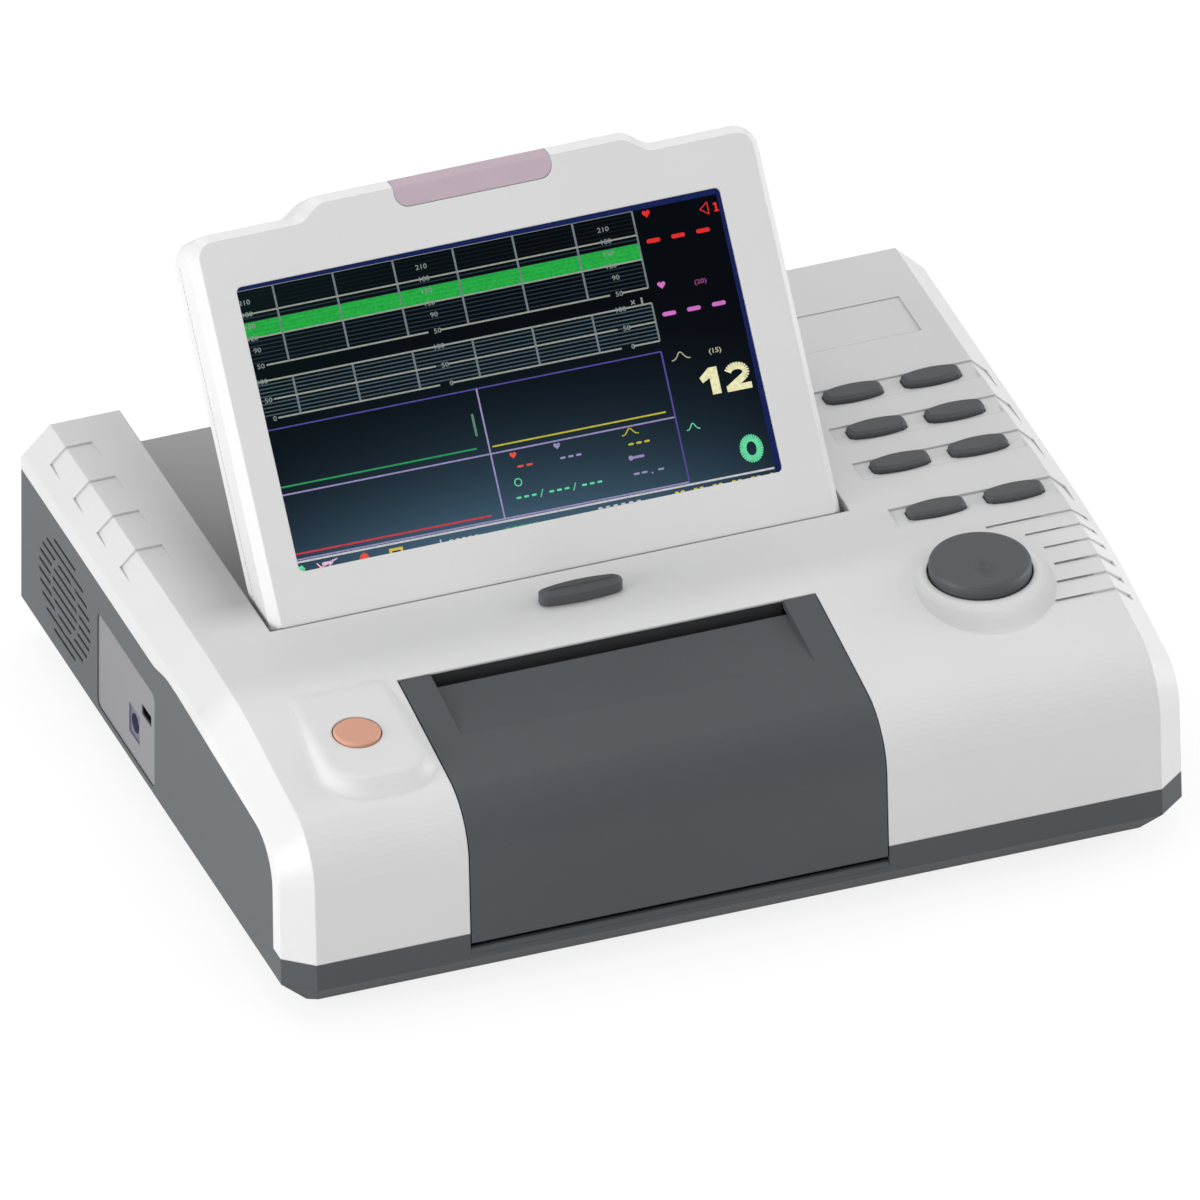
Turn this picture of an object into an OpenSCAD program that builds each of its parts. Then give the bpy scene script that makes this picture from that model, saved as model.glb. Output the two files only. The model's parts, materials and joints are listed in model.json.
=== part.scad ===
// Cardiotocograph: a desk-top fetal monitor with a tilting screen, a thermal
// strip printer behind a hinged front door, eight keys and a rotary knob.
// Origin: on the table, under the middle of the body. X to the user's right,
// Y to the back, Z up. Millimetres.

/* [Body] */
// Width of the body, side to side
body_w = 340; // [320:1:380]
// Depth of the body, front to back
body_d = 271; // [262:1:300]
// Height of the cover's back edge above the base's underside
back_z = 83; // [80:1:92]
// Height of the cover's highest line, just in front of the screen
deck_z = 84.6; // [83:0.2:94]
// Wall of the two housing shells
wall = 2.6; // [1.8:0.1:3.2]
// Slope of the cover from the printer's slot to the front
front_slope = 10; // [6:1:13]
// Radius between the sloping top and the front face
front_r = 24; // [16:1:30]
// Lean of the front face
front_lean = 3.4; // [1:0.2:6]
// Depth of the bevel along both sides of the cover, measured down
bevel_z = 10.8; // [6:0.2:13]
// Width of that bevel, and of the bevel at the front corners
bevel_x = 10.5; // [6:0.5:13]
// Depth of the bevel at the front corners, measured back
bevel_y = 8.5; // [5:0.5:11]

/* [Base tray] */
// Height of the joint between tray and cover along the front
parting_z = 22; // [19:0.5:25]
// Height of the joint between tray and cover along the back half of the sides
side_z = 65.8; // [62:0.2:70]
// Height of the bevel round the underside
keel_z = 11.5; // [8:0.5:14]
// How far the underside is set in by that bevel
keel_in = 11.2; // [6:0.2:14]
// Height of the rubber feet below the tray
foot_h = 3; // [1.5:0.5:8]
// Diameter of the rubber feet
foot_d = 18; // [12:1:24]

/* [Screen] */
// Middle of the housing, measured from the middle of the body
disp_x = -24.13; // [-25:0.01:-23]
// Thickness of the front frame
disp_front_t = 15.7; // [14:0.1:18]
// Thickness of the rear shell
disp_back_t = 10.9; // [8:0.1:12]
// Angle of the screen above the table as it stands
disp_tilt = 51.3; // [40:0.1:60]
// Width of the window
window_w = 182.6; // [170:0.2:186]
// Height of the window
window_h = 103.1; // [95:0.2:106]
// Frame left of the window
bezel_left = 13.95; // [13:0.05:15]
// Frame right of the window
bezel_right = 18.75; // [18:0.05:20]
// Frame above the window, below the hump
bezel_top = 20.65; // [20:0.05:22]
// Frame below the window, down to the cover
bezel_low = 18.65; // [18:0.05:20]
// Height of the hump that holds the alarm lamp
hump_h = 5.8; // [3:0.2:8]
// Width of the alarm lamp
lamp_w = 59; // [40:1:80]
// Floor of the bay that the screen folds into
bay_z = 66.8; // [66.4:0.1:68]

/* [Printer] */
// Width of the paper ramp in the printer's door
ramp_w = 133.2; // [126:0.2:138]
// Width of the door's strip on each side of the ramp
door_side = 11.95; // [11:0.05:13]
// Middle of the door, measured from the middle of the body
door_x = -22.45; // [-24:0.05:-21]
// Gap round the door
door_gap = 0.5; // [0.4:0.1:0.8]
// Thickness of the door's skin
door_t = 3; // [2.4:0.1:3.6]
// Width of the paper and of the roller's rubber
paper_w = 112; // [100:1:114]
// Radius of the platen roller
roller_r = 7; // [6:0.25:7.5]

/* [Controls] */
// Length of a key
key_l = 21.4; // [18:0.2:25]
// Width of a key at its middle
key_w = 9; // [7:0.2:10]
// How far a key stands above its recess
key_rise = 2.2; // [1.6:0.1:3]
// Travel of a key
key_travel = 1; // [0.6:0.1:1.2]
// Diameter of the knob
knob_d = 36.6; // [32:0.2:40]
// Height of the knob above its collar
knob_rise = 5.2; // [4:0.2:8]
// Diameter of the power button
power_d = 17.1; // [14:0.1:19]

/* [Hidden] */

eps = 0.01;
front_y = -body_d / 2;
rear_y = body_d / 2;
side_x = body_w / 2;
// where the cover's slope begins, and the flat in front of the screen
slope_y = front_y + 75.5;
deck_y = slope_y + 35;
// the lower edge of the screen's face, just under the cover's surface
disp_y = deck_y + 7.33;

// colours
white = [0.86, 0.86, 0.86];
grey = [0.30, 0.32, 0.34];
plate_grey = [0.62, 0.61, 0.64];
steel = [0.72, 0.73, 0.75];
black = [0.06, 0.06, 0.07];
board_green = [0.07, 0.33, 0.20];
brass = [0.78, 0.62, 0.30];
rubber_black = [0.10, 0.10, 0.11];

// the body stands on its feet
module on_feet() translate([0, 0, foot_h]) children();

// an outline in Y and Z, carried along X about x
module along_x(length, x = 0)
    translate([x, 0, 0]) rotate([90, 0, 90]) linear_extrude(length, center = true) children();

// a round corner at p between two edges whose outward normals stand a1 and a2
// degrees from straight up, towards the front
function corner(p, a1, a2, r, n) =
    let (n1 = [-sin(a1), cos(a1)], n2 = [-sin(a2), cos(a2)],
         c = p - r * (n1 + n2) / (1 + n1 * n2))
    [for (i = [0:n]) let (a = a1 + (a2 - a1) * i / n) c + r * [-sin(a), cos(a)]];

// height of the cover's top at y, over the flat and the slope
crown = atan((deck_z - back_z) / (rear_y - deck_y));
dip = 2;
slope_z = deck_z - (deck_y - slope_y) * tan(dip);
// the wide round over the printer's slot: where it starts and how far its first chord turns
crest_r = 120;
crest_y = slope_y - crest_r * tan((front_slope - dip) / 2);
crest_turn = (front_slope - dip) / 6;
function top_z(y) =
    y > deck_y ? back_z + (rear_y - y) * tan(crown)
    : y > slope_y ? deck_z - (deck_y - y) * tan(dip)
    : slope_z - (slope_y - y) * tan(front_slope);
// place of the front face at height z
function face_y(z) = front_y + (z - keel_z) * tan(front_lean);

// the cover's outline from the side, set in by t at the top, f at the front and b at the back
function rim(t, f, b, low) =
    let (sz = slope_z - t, fy = front_y + f, m = tan(front_slope), k = tan(front_lean),
         zc = (sz - (slope_y - fy) * m - keel_z * k * m) / (1 - k * m),
         yc = fy + (zc - keel_z) * k)
    concat([[rear_y - b, low]],
        corner([rear_y - b, back_z - t], -90, -crown, 2, 3),
        corner([deck_y, deck_z - t], -crown, dip, 200, 2),
        corner([slope_y, sz], dip, front_slope, crest_r, 3),
        corner([yc, zc], front_slope, 90 - front_lean, front_r - (t + f) / 2.5, 14),
        [[fy + (low - keel_z) * k, low]]);

// the whole body without the bevel of its underside, set in by t
module envelope(t = 0) {
    hull() {
        along_x(body_w - 2 * bevel_x - t) polygon(rim(t, t, t, 0));
        along_x(body_w - 2 * t) polygon(rim(bevel_z + t * 0.4, bevel_y + t * 0.4, t, 0));
    }
}

// the body's outline from above, set in by t
module plan(t) {
    x = side_x - t;
    y = rear_y - t;
    c = 0.6 * t;
    polygon([[-x, y], [x, y], [x, -y + bevel_y - c], [x - bevel_x + c, -y],
        [-x + bevel_x - c, -y], [-x, -y + bevel_y - c]]);
}

// the bevelled underside, set in by t
module keel(t = 0) {
    hull() {
        translate([0, 0, t]) linear_extrude(eps) plan(keel_in + t);
        translate([0, 0, keel_z + t * 0.4]) linear_extrude(body_w) plan(t);
    }
}

// the joint between tray and cover, seen from the side: it runs level from the back,
// steps up beside the screen's hinge, falls gently and drops in a wide round to the front
step_y = deck_y + 29;
step_l = 17;
step_h = 2.7;
joint_front_y = front_y + 17.9;
joint_fall = 3.3;
joint_corner_z = side_z + step_h - (step_y - step_l - 8 - joint_front_y) * tan(joint_fall);
function joint_line() = concat(
    [[rear_y + 9, side_z]],
    [for (i = [0:6]) [step_y - step_l * i / 6, side_z + step_h * (1 - cos(30 * i)) / 2]],
    [[step_y - step_l - 8, side_z + step_h]],
    corner([joint_front_y, joint_corner_z], joint_fall, 88, 18, 8),
    [[joint_front_y - 1.4, parting_z], [front_y - 9, parting_z]]);
module below_joint(drop = 0)
    along_x(body_w + 20)
        polygon(concat([for (p = joint_line()) [p[0], p[1] - drop]],
            [[front_y - 9, -9], [rear_y + 9, -9]]));

// a shallow recess in the top at one side that is deepest along its back edge, fades
// out towards the front and runs over the side's bevel. s is 1 on the right, -1 left.
module fading_recess(s, x_in, y_back, length, depth, down, slant = 0) {
    z = top_z(y_back - length / 2);
    edge = side_x - bevel_x;
    turn = atan(bevel_z / bevel_x);
    mirror([s < 0 ? 1 : 0, 0, 0]) {
        translate([s * x_in, 0, z]) wedge(edge + 0.4 - s * x_in, y_back, length, depth);
        translate([edge, y_back, z]) rotate([0, turn, 0]) rotate(slant)
            translate([-0.4, 0, 0]) wedge(down + 0.4, 0, length, depth);
    }
}
module wedge(run, y_back, length, depth)
    translate([run / 2, 0, 0]) along_x(run)
        polygon([[y_back, -depth], [y_back, 3], [y_back - length, 3], [y_back - length, 0.12]]);

// places of the controls
key_xs = [side_x - 57.4, side_x - 27.9];
key_ys = [for (d = [76.8, 53, 29.3, -2.7]) deck_y + d];
// how far each row of keys stands further right
row_shift = [0, 0, 0, 1.6];
key_at = [for (r = [0:3], x = key_xs) [x + row_shift[r], key_ys[r]]];
strip_x = side_x - 73.4;
strip_w = 11;
strip_depth = 0.7;
knob_x = side_x - 54.2;
knob_y = slope_y - 8.2;
knob_z = top_z(knob_y) + 1.5;
collar_r = knob_d / 2 + 2.4;
// how far the raised ring reaches out from its crest, and its fall
seat_run = 14;
seat_fall = 8.4;
knob_skirt = 3;
power_x = 44.6 - side_x;
power_y = slope_y - 24.1;
pad_x = power_x + 1.6;
pad_w = 38.5;
pad_l = 51;
pad_tilt = 4.5;
// its soft edge: how far it spreads at each depth
pad_steps = [[-2.6, 0], [-0.9, 0.4], [0, 1.4], [5.5, 6.5]];

// screen: its housing, its hinge axis and the bay round it
disp_w = window_w + bezel_left + bezel_right;
disp_h = window_h + bezel_low + bezel_top;
disp_z = deck_z - 0.48;
disp_t = disp_front_t + disp_back_t;
hinge_up = 9.5;
hinge_in = 10;
hinge_y = disp_y + hinge_up * cos(disp_tilt) + hinge_in * sin(disp_tilt);
hinge_z = disp_z + hinge_up * sin(disp_tilt) - hinge_in * cos(disp_tilt);
hinge_xs = [disp_x - 70, disp_x + 70];
barrel_r = 4.4;
pin_r = 2;
post_w = 12;
bay_x0 = disp_x - disp_w / 2 - 1.67;
bay_x1 = disp_x + disp_w / 2 + 1.93;
bay_front_y = hinge_y - norm([hinge_up, hinge_in]) - 0.3;

// printer: door outline, hinge axis, roller and gears
door_w = ramp_w + 2 * door_side;
door_x0 = door_x - door_w / 2;
door_x1 = door_x + door_w / 2;
door_top_y = slope_y - 0.8;
door_low_z = 16.9;
door_axis_y = front_y + 6.5;
door_pin_r = 1.5;
door_axis_z = 22;
notch_z = 13.6;
well_x0 = door_x0 - door_gap;
well_x1 = door_x1 + door_gap;
slot_y = door_top_y - 3.6;
roller_y = slope_y + 10;
roller_z = deck_z - 15.1;
shaft_r = 3;
gear_m = 0.8;
platen_teeth = 22;
idler_teeth = 40;
motor_teeth = 12;
gear_w = 4;
idler_away = gear_m * (platen_teeth + idler_teeth) / 2;
motor_away = gear_m * (motor_teeth + idler_teeth) / 2;
idler_turn = 100;
motor_turn = 35;
idler_y = roller_y + idler_away * cos(idler_turn);
idler_z = roller_z - idler_away * sin(idler_turn);
motor_y = idler_y + motor_away * cos(motor_turn);
motor_z = idler_z - motor_away * sin(motor_turn);
cheek_t = 2.4;
cheek_x0 = well_x0 - 0.3;
cheek_x1 = well_x1 + 0.3;
gear_x = cheek_x1 + cheek_t + 1.2;

// screws that close the body
boss_at = [[20 - side_x, rear_y - 14.5], [side_x - 20, rear_y - 14.5],
    [20 - side_x, deck_y - 9], [side_x - 18, slope_y + 10],
    [24 - side_x, front_y + 27.5], [side_x - 24, front_y + 27.5]];
boss_d = 8;
boss_split_z = 20;
screw_r = 1.5;

module base_tray() color(grey) on_feet() {
    difference() {
        union() {
            difference() {
                intersection() { envelope(); keel(); below_joint(); }
                intersection() { envelope(wall); keel(wall); }
                // the mouth under the printer's door
                translate([well_x0, front_y - 9, notch_z])
                    cube([well_x1 - well_x0, 20, parting_z]);
            }
            for (p = boss_at) translate([p[0], p[1], wall - eps])
                cylinder(h = boss_split_z - wall + eps, d = boss_d + 1, $fn = 40);
            // rails that carry the paper tray
            for (s = [-1:1]) translate([door_x + s * paper_w / 2 - 1.2, tray_y0 + 3, wall - eps])
                cube([2.4, tray_y1 - tray_y0 - 7, 1.6]);
        }
        for (p = boss_at) translate([p[0], p[1], -1]) {
            cylinder(h = boss_split_z + 2, r = screw_r + 0.15, $fn = 32);
            cylinder(h = 7, r = 3.2, $fn = 32);
        }
        for (p = feet_at) translate([p[0], p[1], -1])
            cylinder(h = 1 + foot_seat, d = foot_d + 0.2, $fn = 48);
        speaker_slots();
        port_opening();
        socket_opening();
    }
}

// where the feet sit, and how far they reach into the tray's floor
feet_at = [for (x = [-1, 1], y = [-1, 1]) [x * (side_x - 42), y * (rear_y - 37.5)]];
foot_seat = 1.2;

// slots of the loudspeaker's grille: ten rows inside an oval, crossed by a solid ring
grille_y = rear_y - 43.9;
grille_z = (keel_z + side_z) / 2 - 1.05;
grille_ry = 25.9;
grille_rz = 20.9;
slot_pitch = 4.23;
slot_h = 1.3;
ring_r = 13.4;
ring_w = 2.1;
module speaker_slots() difference() {
    for (i = [-4.5:4.5]) {
        half = grille_ry * sqrt(1 - pow(i * slot_pitch / grille_rz, 2));
        translate([-side_x - 1, grille_y - half, grille_z + i * slot_pitch - slot_h / 2])
            cube([wall + 2, 2 * half, slot_h]);
    }
    translate([-side_x - 2, grille_y, grille_z]) rotate([0, 90, 0]) difference() {
        cylinder(h = wall + 4, r = ring_r + ring_w / 2, $fn = 64);
        cylinder(h = wall + 4, r = ring_r - ring_w / 2, $fn = 64);
    }
}

// the plate with the inlets on the left side
port_y0 = rear_y - 134.5;
port_y1 = port_y0 + 57.6;
port_z0 = 14;
port_z1 = 53.5;
port_sink = 0.4;
jack_y = port_y0 + 21.3;
jack_z = 28.5;
usb_y = port_y0 + 9.1;
usb_z = 39.7;
module plate_outline(y0, y1, z0, z1, r)
    translate([y0, z0]) {
        w = y1 - y0;
        h = z1 - z0;
        translate([r, 0]) square([w - 2 * r, h]);
        translate([0, r]) square([w, h - 2 * r]);
        for (x = [r, w - r], y = [r, h - r]) translate([x, y]) circle(r, $fn = 24);
    }
module port_opening()
    along_x(wall + 4, -side_x) plate_outline(port_y0, port_y1, port_z0, port_z1, 3);
module port_panel() color(plate_grey) on_feet()
    difference() {
        union() {
            along_x(wall - port_sink, -side_x + (wall + port_sink) / 2)
                plate_outline(port_y0 + 0.15, port_y1 - 0.15, port_z0 + 0.15, port_z1 - 0.15, 3);
            along_x(1.6, -side_x + wall + 0.8)
                plate_outline(port_y0 - 2, port_y1 + 2, port_z0 - 1.4, port_z1 + 2, 3);
        }
        translate([-side_x - 1, jack_y - 5.3, jack_z - 6.1]) cube([9, 10.6, 12.2]);
        translate([-side_x - 1, usb_y - 4.8, usb_z - 2.2]) cube([9, 9.6, 4.4]);
    }
module dc_jack() color(black) on_feet() {
    difference() {
        translate([-side_x + 0.8, jack_y - 5.15, jack_z - 5.95]) cube([14, 10.3, 11.9]);
        translate([-side_x, jack_y, jack_z]) rotate([0, 90, 0]) cylinder(h = 11, d = 7.5, $fn = 48);
    }
    translate([-side_x + 2, jack_y, jack_z]) rotate([0, 90, 0]) cylinder(h = 10, d = 2.1, $fn = 24);
}
module usb_socket() color(steel) on_feet() {
    difference() {
        translate([-side_x + 0.8, usb_y - 4.7, usb_z - 2.1]) cube([9, 9.4, 4.2]);
        translate([-side_x, usb_y - 4.3, usb_z - 1.7]) cube([8, 8.6, 3.4]);
    }
    translate([-side_x + 2, usb_y - 3.4, usb_z - 0.4]) cube([7, 6.8, 0.8]);
}
module port_board() color(board_green) on_feet() {
    translate([-side_x + 5.2, port_y0 + 1, jack_z - 5.95 - 1.6]) cube([36, 52, 1.6 + eps]);
    // riser under the small socket
    translate([-side_x + 5.2, usb_y - 4.7, jack_z - 5.95]) cube([4.4, 1.2, usb_z - jack_z + 3.85]);
    // pillars down to the tray's floor
    for (y = [7, 47], x = [19, 37]) translate([-side_x + x, port_y0 + y, wall])
        cylinder(h = jack_z - 5.95 - 1.6 - wall + eps, d = 6, $fn = 24);
}

module loudspeaker() color(black) on_feet()
    translate([-side_x + wall, grille_y, grille_z]) rotate([0, 90, 0]) {
        difference() {
            cylinder(h = 4, r = 25, $fn = 64);
            translate([0, 0, -1]) cylinder(h = 6, r = 21.5, $fn = 64);
        }
        translate([0, 0, 3]) cylinder(h = 3, r1 = 22, r2 = 11, $fn = 48);
        translate([0, 0, 6 - eps]) cylinder(h = 8, r = 13, $fn = 48);
    }

// round sockets for the probes on the right side, in a shallow moulded panel
socket_ys = [for (i = [0:3]) rear_y - 159.5 + 26 * i];
socket_z = 36;
socket_d = 16;
module socket_opening()
    for (y = socket_ys) translate([side_x - 8, y, socket_z]) rotate([0, 90, 0])
        cylinder(h = 16, d = socket_d + 0.2, $fn = 48);
module probe_sockets() color(plate_grey) on_feet()
    for (y = socket_ys) translate([side_x - wall, y, socket_z]) rotate([0, 90, 0]) {
        difference() {
            union() {
                translate([0, 0, -9]) cylinder(h = 9 + wall, d = socket_d, $fn = 48);
                translate([0, 0, -2.4]) cylinder(h = 2.4, d = socket_d + 5, $fn = 48);
            }
            translate([0, 0, wall - 8]) difference() {
                cylinder(h = 9, d = 12.4, $fn = 48);
                translate([0, 0, -1]) cylinder(h = 8.4, d = 8.2, $fn = 40);
            }
        }
    }

module rubber_feet() color(rubber_black) for (p = feet_at)
    translate([p[0], p[1], 0]) rotate_extrude($fn = 48)
        polygon([[0, 0], [foot_d / 2 - 1, 0], [foot_d / 2, 1], [foot_d / 2, foot_h + foot_seat],
            [0, foot_h + foot_seat]]);

module base_screws() color(steel) on_feet() for (p = boss_at) translate([p[0], p[1], 0]) {
    translate([0, 0, 3.6]) cylinder(h = 2.4, r = 2.8, $fn = 32);
    translate([0, 0, 6 - eps]) cylinder(h = 26, r = screw_r, $fn = 32);
}

// main board: its front left corner, its size, its thickness and its height over the floor
board_x = 84 - side_x;
board_y = deck_y + 29;
board_w = body_w - 190;
board_l = rear_y - board_y - 13.5;
board_t = 1.6;
board_z = 8;
// chips on it, each with its place from that corner and its size
chips = [[26, 26, 24, 24], [66, 32, 16, 16], [96, 56, 30, 12], [36, 76, 18, 12], [106, 88, 14, 14]];
module main_board() color(board_green) on_feet() translate([board_x, board_y, 0]) {
    translate([0, 0, board_z]) cube([board_w, board_l, board_t]);
    for (x = [6, board_w - 6], y = [6, board_l - 6]) translate([x, y, wall])
        cylinder(h = board_z - wall + eps, d = 7, $fn = 24);
    for (c = chips) translate([c[0], c[1], board_z + board_t - eps]) cube([c[2], c[3], 2.2]);
    for (y = [16, 46, 76]) translate([board_w - 12, y, board_z + board_t - eps])
        cube([8, 18, 9]);
}
module battery_pack() color([0.16, 0.22, 0.38]) on_feet()
    translate([side_x - 70, deck_y + 39, wall]) {
        cube([44, 84, 24]);
        translate([22, -2, 8]) cube([12, 2 + eps, 6]);
    }

// top cover: a moulded shell with the bay for the screen, the door's opening, the power
// button's tongue, the knob's collar and the recesses along both sides
module power_pad()
    translate([pad_x, slope_y, slope_z]) rotate([pad_tilt, 0, 0]) hull()
        for (p = pad_steps) translate([0, 0, -p[1] - eps]) linear_extrude(eps)
            tongue(pad_w + 2 * p[0], pad_l + p[0], 13 + p[0]);
module tongue(w, l, r) {
    translate([-w / 2, r - l]) square([w, l - r + 1]);
    for (x = [r - w / 2, w / 2 - r]) translate([x, r - l]) circle(r, $fn = 32);
    translate([r - w / 2, -l]) square([w - 2 * r, 2 * r]);
}
module bay_walls()
    along_x(bay_x1 - bay_x0 + 2 * wall, (bay_x0 + bay_x1) / 2)
        polygon([[bay_front_y - wall, bay_z - wall], [rear_y - wall - 0.4, bay_z - wall],
            [rear_y - wall - 0.4, side_z], [rear_y, side_z], [rear_y, back_z - 2.1],
            [rear_y - 3, back_z - 1], [bay_front_y - wall, deck_z - 1]]);
module bay_space()
    translate([bay_x0, bay_front_y, bay_z])
        cube([bay_x1 - bay_x0, rear_y - bay_front_y + 1, 40]);
module barrel(l, w, r) intersection() {
    bow = 1.5;
    big = (l * l / 4 + bow * bow) / (2 * bow);
    translate([0, w / 2 - big]) circle(big, $fn = 180);
    translate([0, big - w / 2]) circle(big, $fn = 180);
    union() {
        square([l - 2 * r, w + 1], center = true);
        square([l, w - 2 * bow - 2 * r], center = true);
        for (x = [-1, 1], y = [-1, 1])
            translate([x * (l / 2 - r), y * (w / 2 - bow - r)]) circle(r, $fn = 20);
    }
}
module key_holes() for (p = key_at)
    translate([p[0], p[1], top_z(p[1]) - 8]) linear_extrude(16)
        barrel(key_l + 0.6, key_w + 0.6, 1.6);
// raised ring round the knob, with a soft outer slope
module knob_seat() translate([knob_x, knob_y, knob_z]) rotate_extrude($fn = 96)
    polygon(concat([[0, -9], [0, 0]],
        [for (i = [0:8]) [collar_r + seat_run * i / 8, -seat_fall * (1 - cos(22.5 * i)) / 2]],
        [[collar_r + seat_run, -9]]));
latch_x = door_x;
latch_y = deck_y - 9.5;
latch_l = 31;
latch_w = 8.4;
latch_h = 4.8;
latch_travel = 3;
bar_z = deck_z - 7;
bar_t = 1.6;
module top_cover() color(white) on_feet() {
    difference() {
        union() {
            difference() {
                union() { envelope(); power_pad(); knob_seat(); }
                cover_inside();
                below_joint();
            }
            bay_walls();
            for (p = boss_at) translate([p[0], p[1], boss_split_z])
                cylinder(h = top_z(p[1]) - wall / 2 - boss_split_z, d = boss_d, $fn = 40);
            // posts that carry the keypad's board
            for (x = [pad_board_x + 4, pad_board_x + pad_board_w - 4],
                    y = [pad_board_y + 3, pad_board_y + pad_board_l - 3])
                translate([x, y, pad_board_z])
                    cylinder(h = top_z(y) - pad_board_z - 1, d = 6, $fn = 24);
        }
        bay_space();
        // rebate for the paper cutter
        translate([door_x - ramp_w / 2 - 0.2, door_top_y - 2, slope_z - 12])
            cube([ramp_w + 0.4, cutter_t + door_gap + 2.1, 12 - cutter_lip]);
        // opening for the door
        translate([well_x0, front_y - 9, 0])
            cube([well_x1 - well_x0, door_top_y + door_gap - front_y + 9, 99]);
        key_holes();
        knob_bore();
        power_hole();
        latch_slot();
        for (p = boss_at) translate([p[0], p[1], boss_split_z - 1])
            cylinder(h = 16, r = screw_r + 0.05, $fn = 32);
        for (r = [0:3]) {
            x = strip_x + row_shift[r];
            y = key_ys[r];
            fading_recess(1, x, y + strip_w / 2, strip_w + 3, strip_depth, 8);
            translate([x, y - strip_w / 2, top_z(y) - strip_depth / 2])
                cube([side_x - bevel_x - x - 0.9, strip_w, 4]);
        }
        for (i = [0:3])
            fading_recess(-1, 20.6 - side_x, rear_y - 16.7 - 23.5 * i, 11.5, 0.8, 8.5);
        // bare recess for a label
        translate([strip_x + 0.4, label_y, top_z(label_y + label_l / 2) - 0.45])
            cube([52.6, label_l, 4]);
        difference() {
            for (i = [0:5])
                fading_recess(1, knob_x + groove_from[i], knob_y + 24.6 - groove_pitch * i, 3,
                    0.6, 9, 15);
            knob_seat();
        }
    }
}
label_y = rear_y - 53.9;
label_l = 23;
// where the steps beside the knob begin, measured from its middle, and their pitch
groove_from = [11.2, 22.7, 26.6, 27.1, 24, 14.2];
groove_pitch = 8.84;
module cover_inside() {
    difference() {
        envelope(wall);
        // floor under the knob
        translate([knob_x, knob_y, knob_z - knob_skirt - 1.4 - 2.2])
            cylinder(h = 20, r = knob_d / 2 + 3, $fn = 96);
        // ring under the power button
        translate([power_x, power_y, power_z - 8]) cylinder(h = 30, d = power_d + 5, $fn = 64);
    }
}
module knob_bore() {
    translate([knob_x, knob_y, knob_z - knob_skirt - 1.4])
        cylinder(h = 20, d = knob_d + 1.4, $fn = 96);
    translate([knob_x, knob_y, knob_z - 20]) cylinder(h = 40, r = 4.8, $fn = 40);
}
power_z = slope_z - (slope_y - power_y) * tan(pad_tilt);
power_rise = 0.9;
power_travel = 1.5;
module power_hole() translate([power_x, power_y, power_z]) {
    translate([0, 0, -20]) cylinder(h = 30, d = power_d + 0.8, $fn = 64);
}
module latch_slot()
    translate([latch_x - 12.3, latch_y - 2.2, deck_z - 9])
        cube([24.6, 4.4 + latch_travel, 20]);

pad_board_x = side_x - 74;
pad_board_y = deck_y - 16;
pad_board_w = 62;
pad_board_l = 105;
pad_board_z = back_z - 12;
pad_board_t = 1.6;
switch_h = 3.4;
stem_in = 0.8;
module keypad_board() color(board_green) on_feet() {
    translate([pad_board_x, pad_board_y, pad_board_z - pad_board_t])
        cube([pad_board_w, pad_board_l, pad_board_t]);
    for (p = key_at) translate([p[0], p[1], pad_board_z - eps]) difference() {
        translate([-3, -3, 0]) cube([6, 6, switch_h]);
        translate([0, 0, switch_h - stem_in - key_travel - 0.8])
            cylinder(h = 9, r = 1.9, $fn = 24);
    }
}
module key_cap(n) {
    x = key_at[n - 1][0];
    y = key_at[n - 1][1];
    z = top_z(y);
    color(grey) on_feet() translate([x, y, z]) {
        hull() {
            translate([0, 0, -wall - 0.6]) linear_extrude(wall + key_rise - 0.4)
                barrel(key_l, key_w, 1.4);
            translate([0, 0, key_rise - 0.5]) linear_extrude(0.5)
                barrel(key_l - 2, key_w - 2, 1);
        }
        translate([-key_l / 2 - 1.4, -key_w / 2 - 1.4, -wall - 1.8])
            cube([key_l + 2.8, key_w + 2.8, 1.4]);
        translate([0, 0, pad_board_z + switch_h - stem_in - z])
            cylinder(h = z - wall - 1.7 - pad_board_z - switch_h + stem_in, r = 1.6, $fn = 24);
    }
}

module power_button() color([0.87, 0.62, 0.50]) on_feet() translate([power_x, power_y, power_z]) {
    rotate_extrude($fn = 64)
        polygon([[0, -15.9], [2, -15.9], [2, -9.9], [power_d / 2 + 2, -9.9], [power_d / 2 + 2, -8.3],
            [power_d / 2, -8.3], [power_d / 2, power_rise - 0.7],
            [power_d / 2 - 0.8, power_rise], [0, power_rise]]);
}
switch_down = 24.9;
module power_switch() color(black) on_feet()
    translate([power_x, power_y, power_z - switch_down]) {
    difference() {
        translate([-6, -6, 0]) cube([12, 12, 9.6]);
        translate([0, 0, 6]) cylinder(h = 9, r = 2.4, $fn = 24);
    }
    // its small board, on two legs that reach the tray
    translate([-14, -10, -1.6 + eps]) cube([28, 20, 1.6]);
    leg = power_z - switch_down - wall;
    for (x = [-11, 11]) translate([x, 0, -leg])
        cylinder(h = leg - 1.6 + 2 * eps, d = 5, $fn = 24);
}

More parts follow.
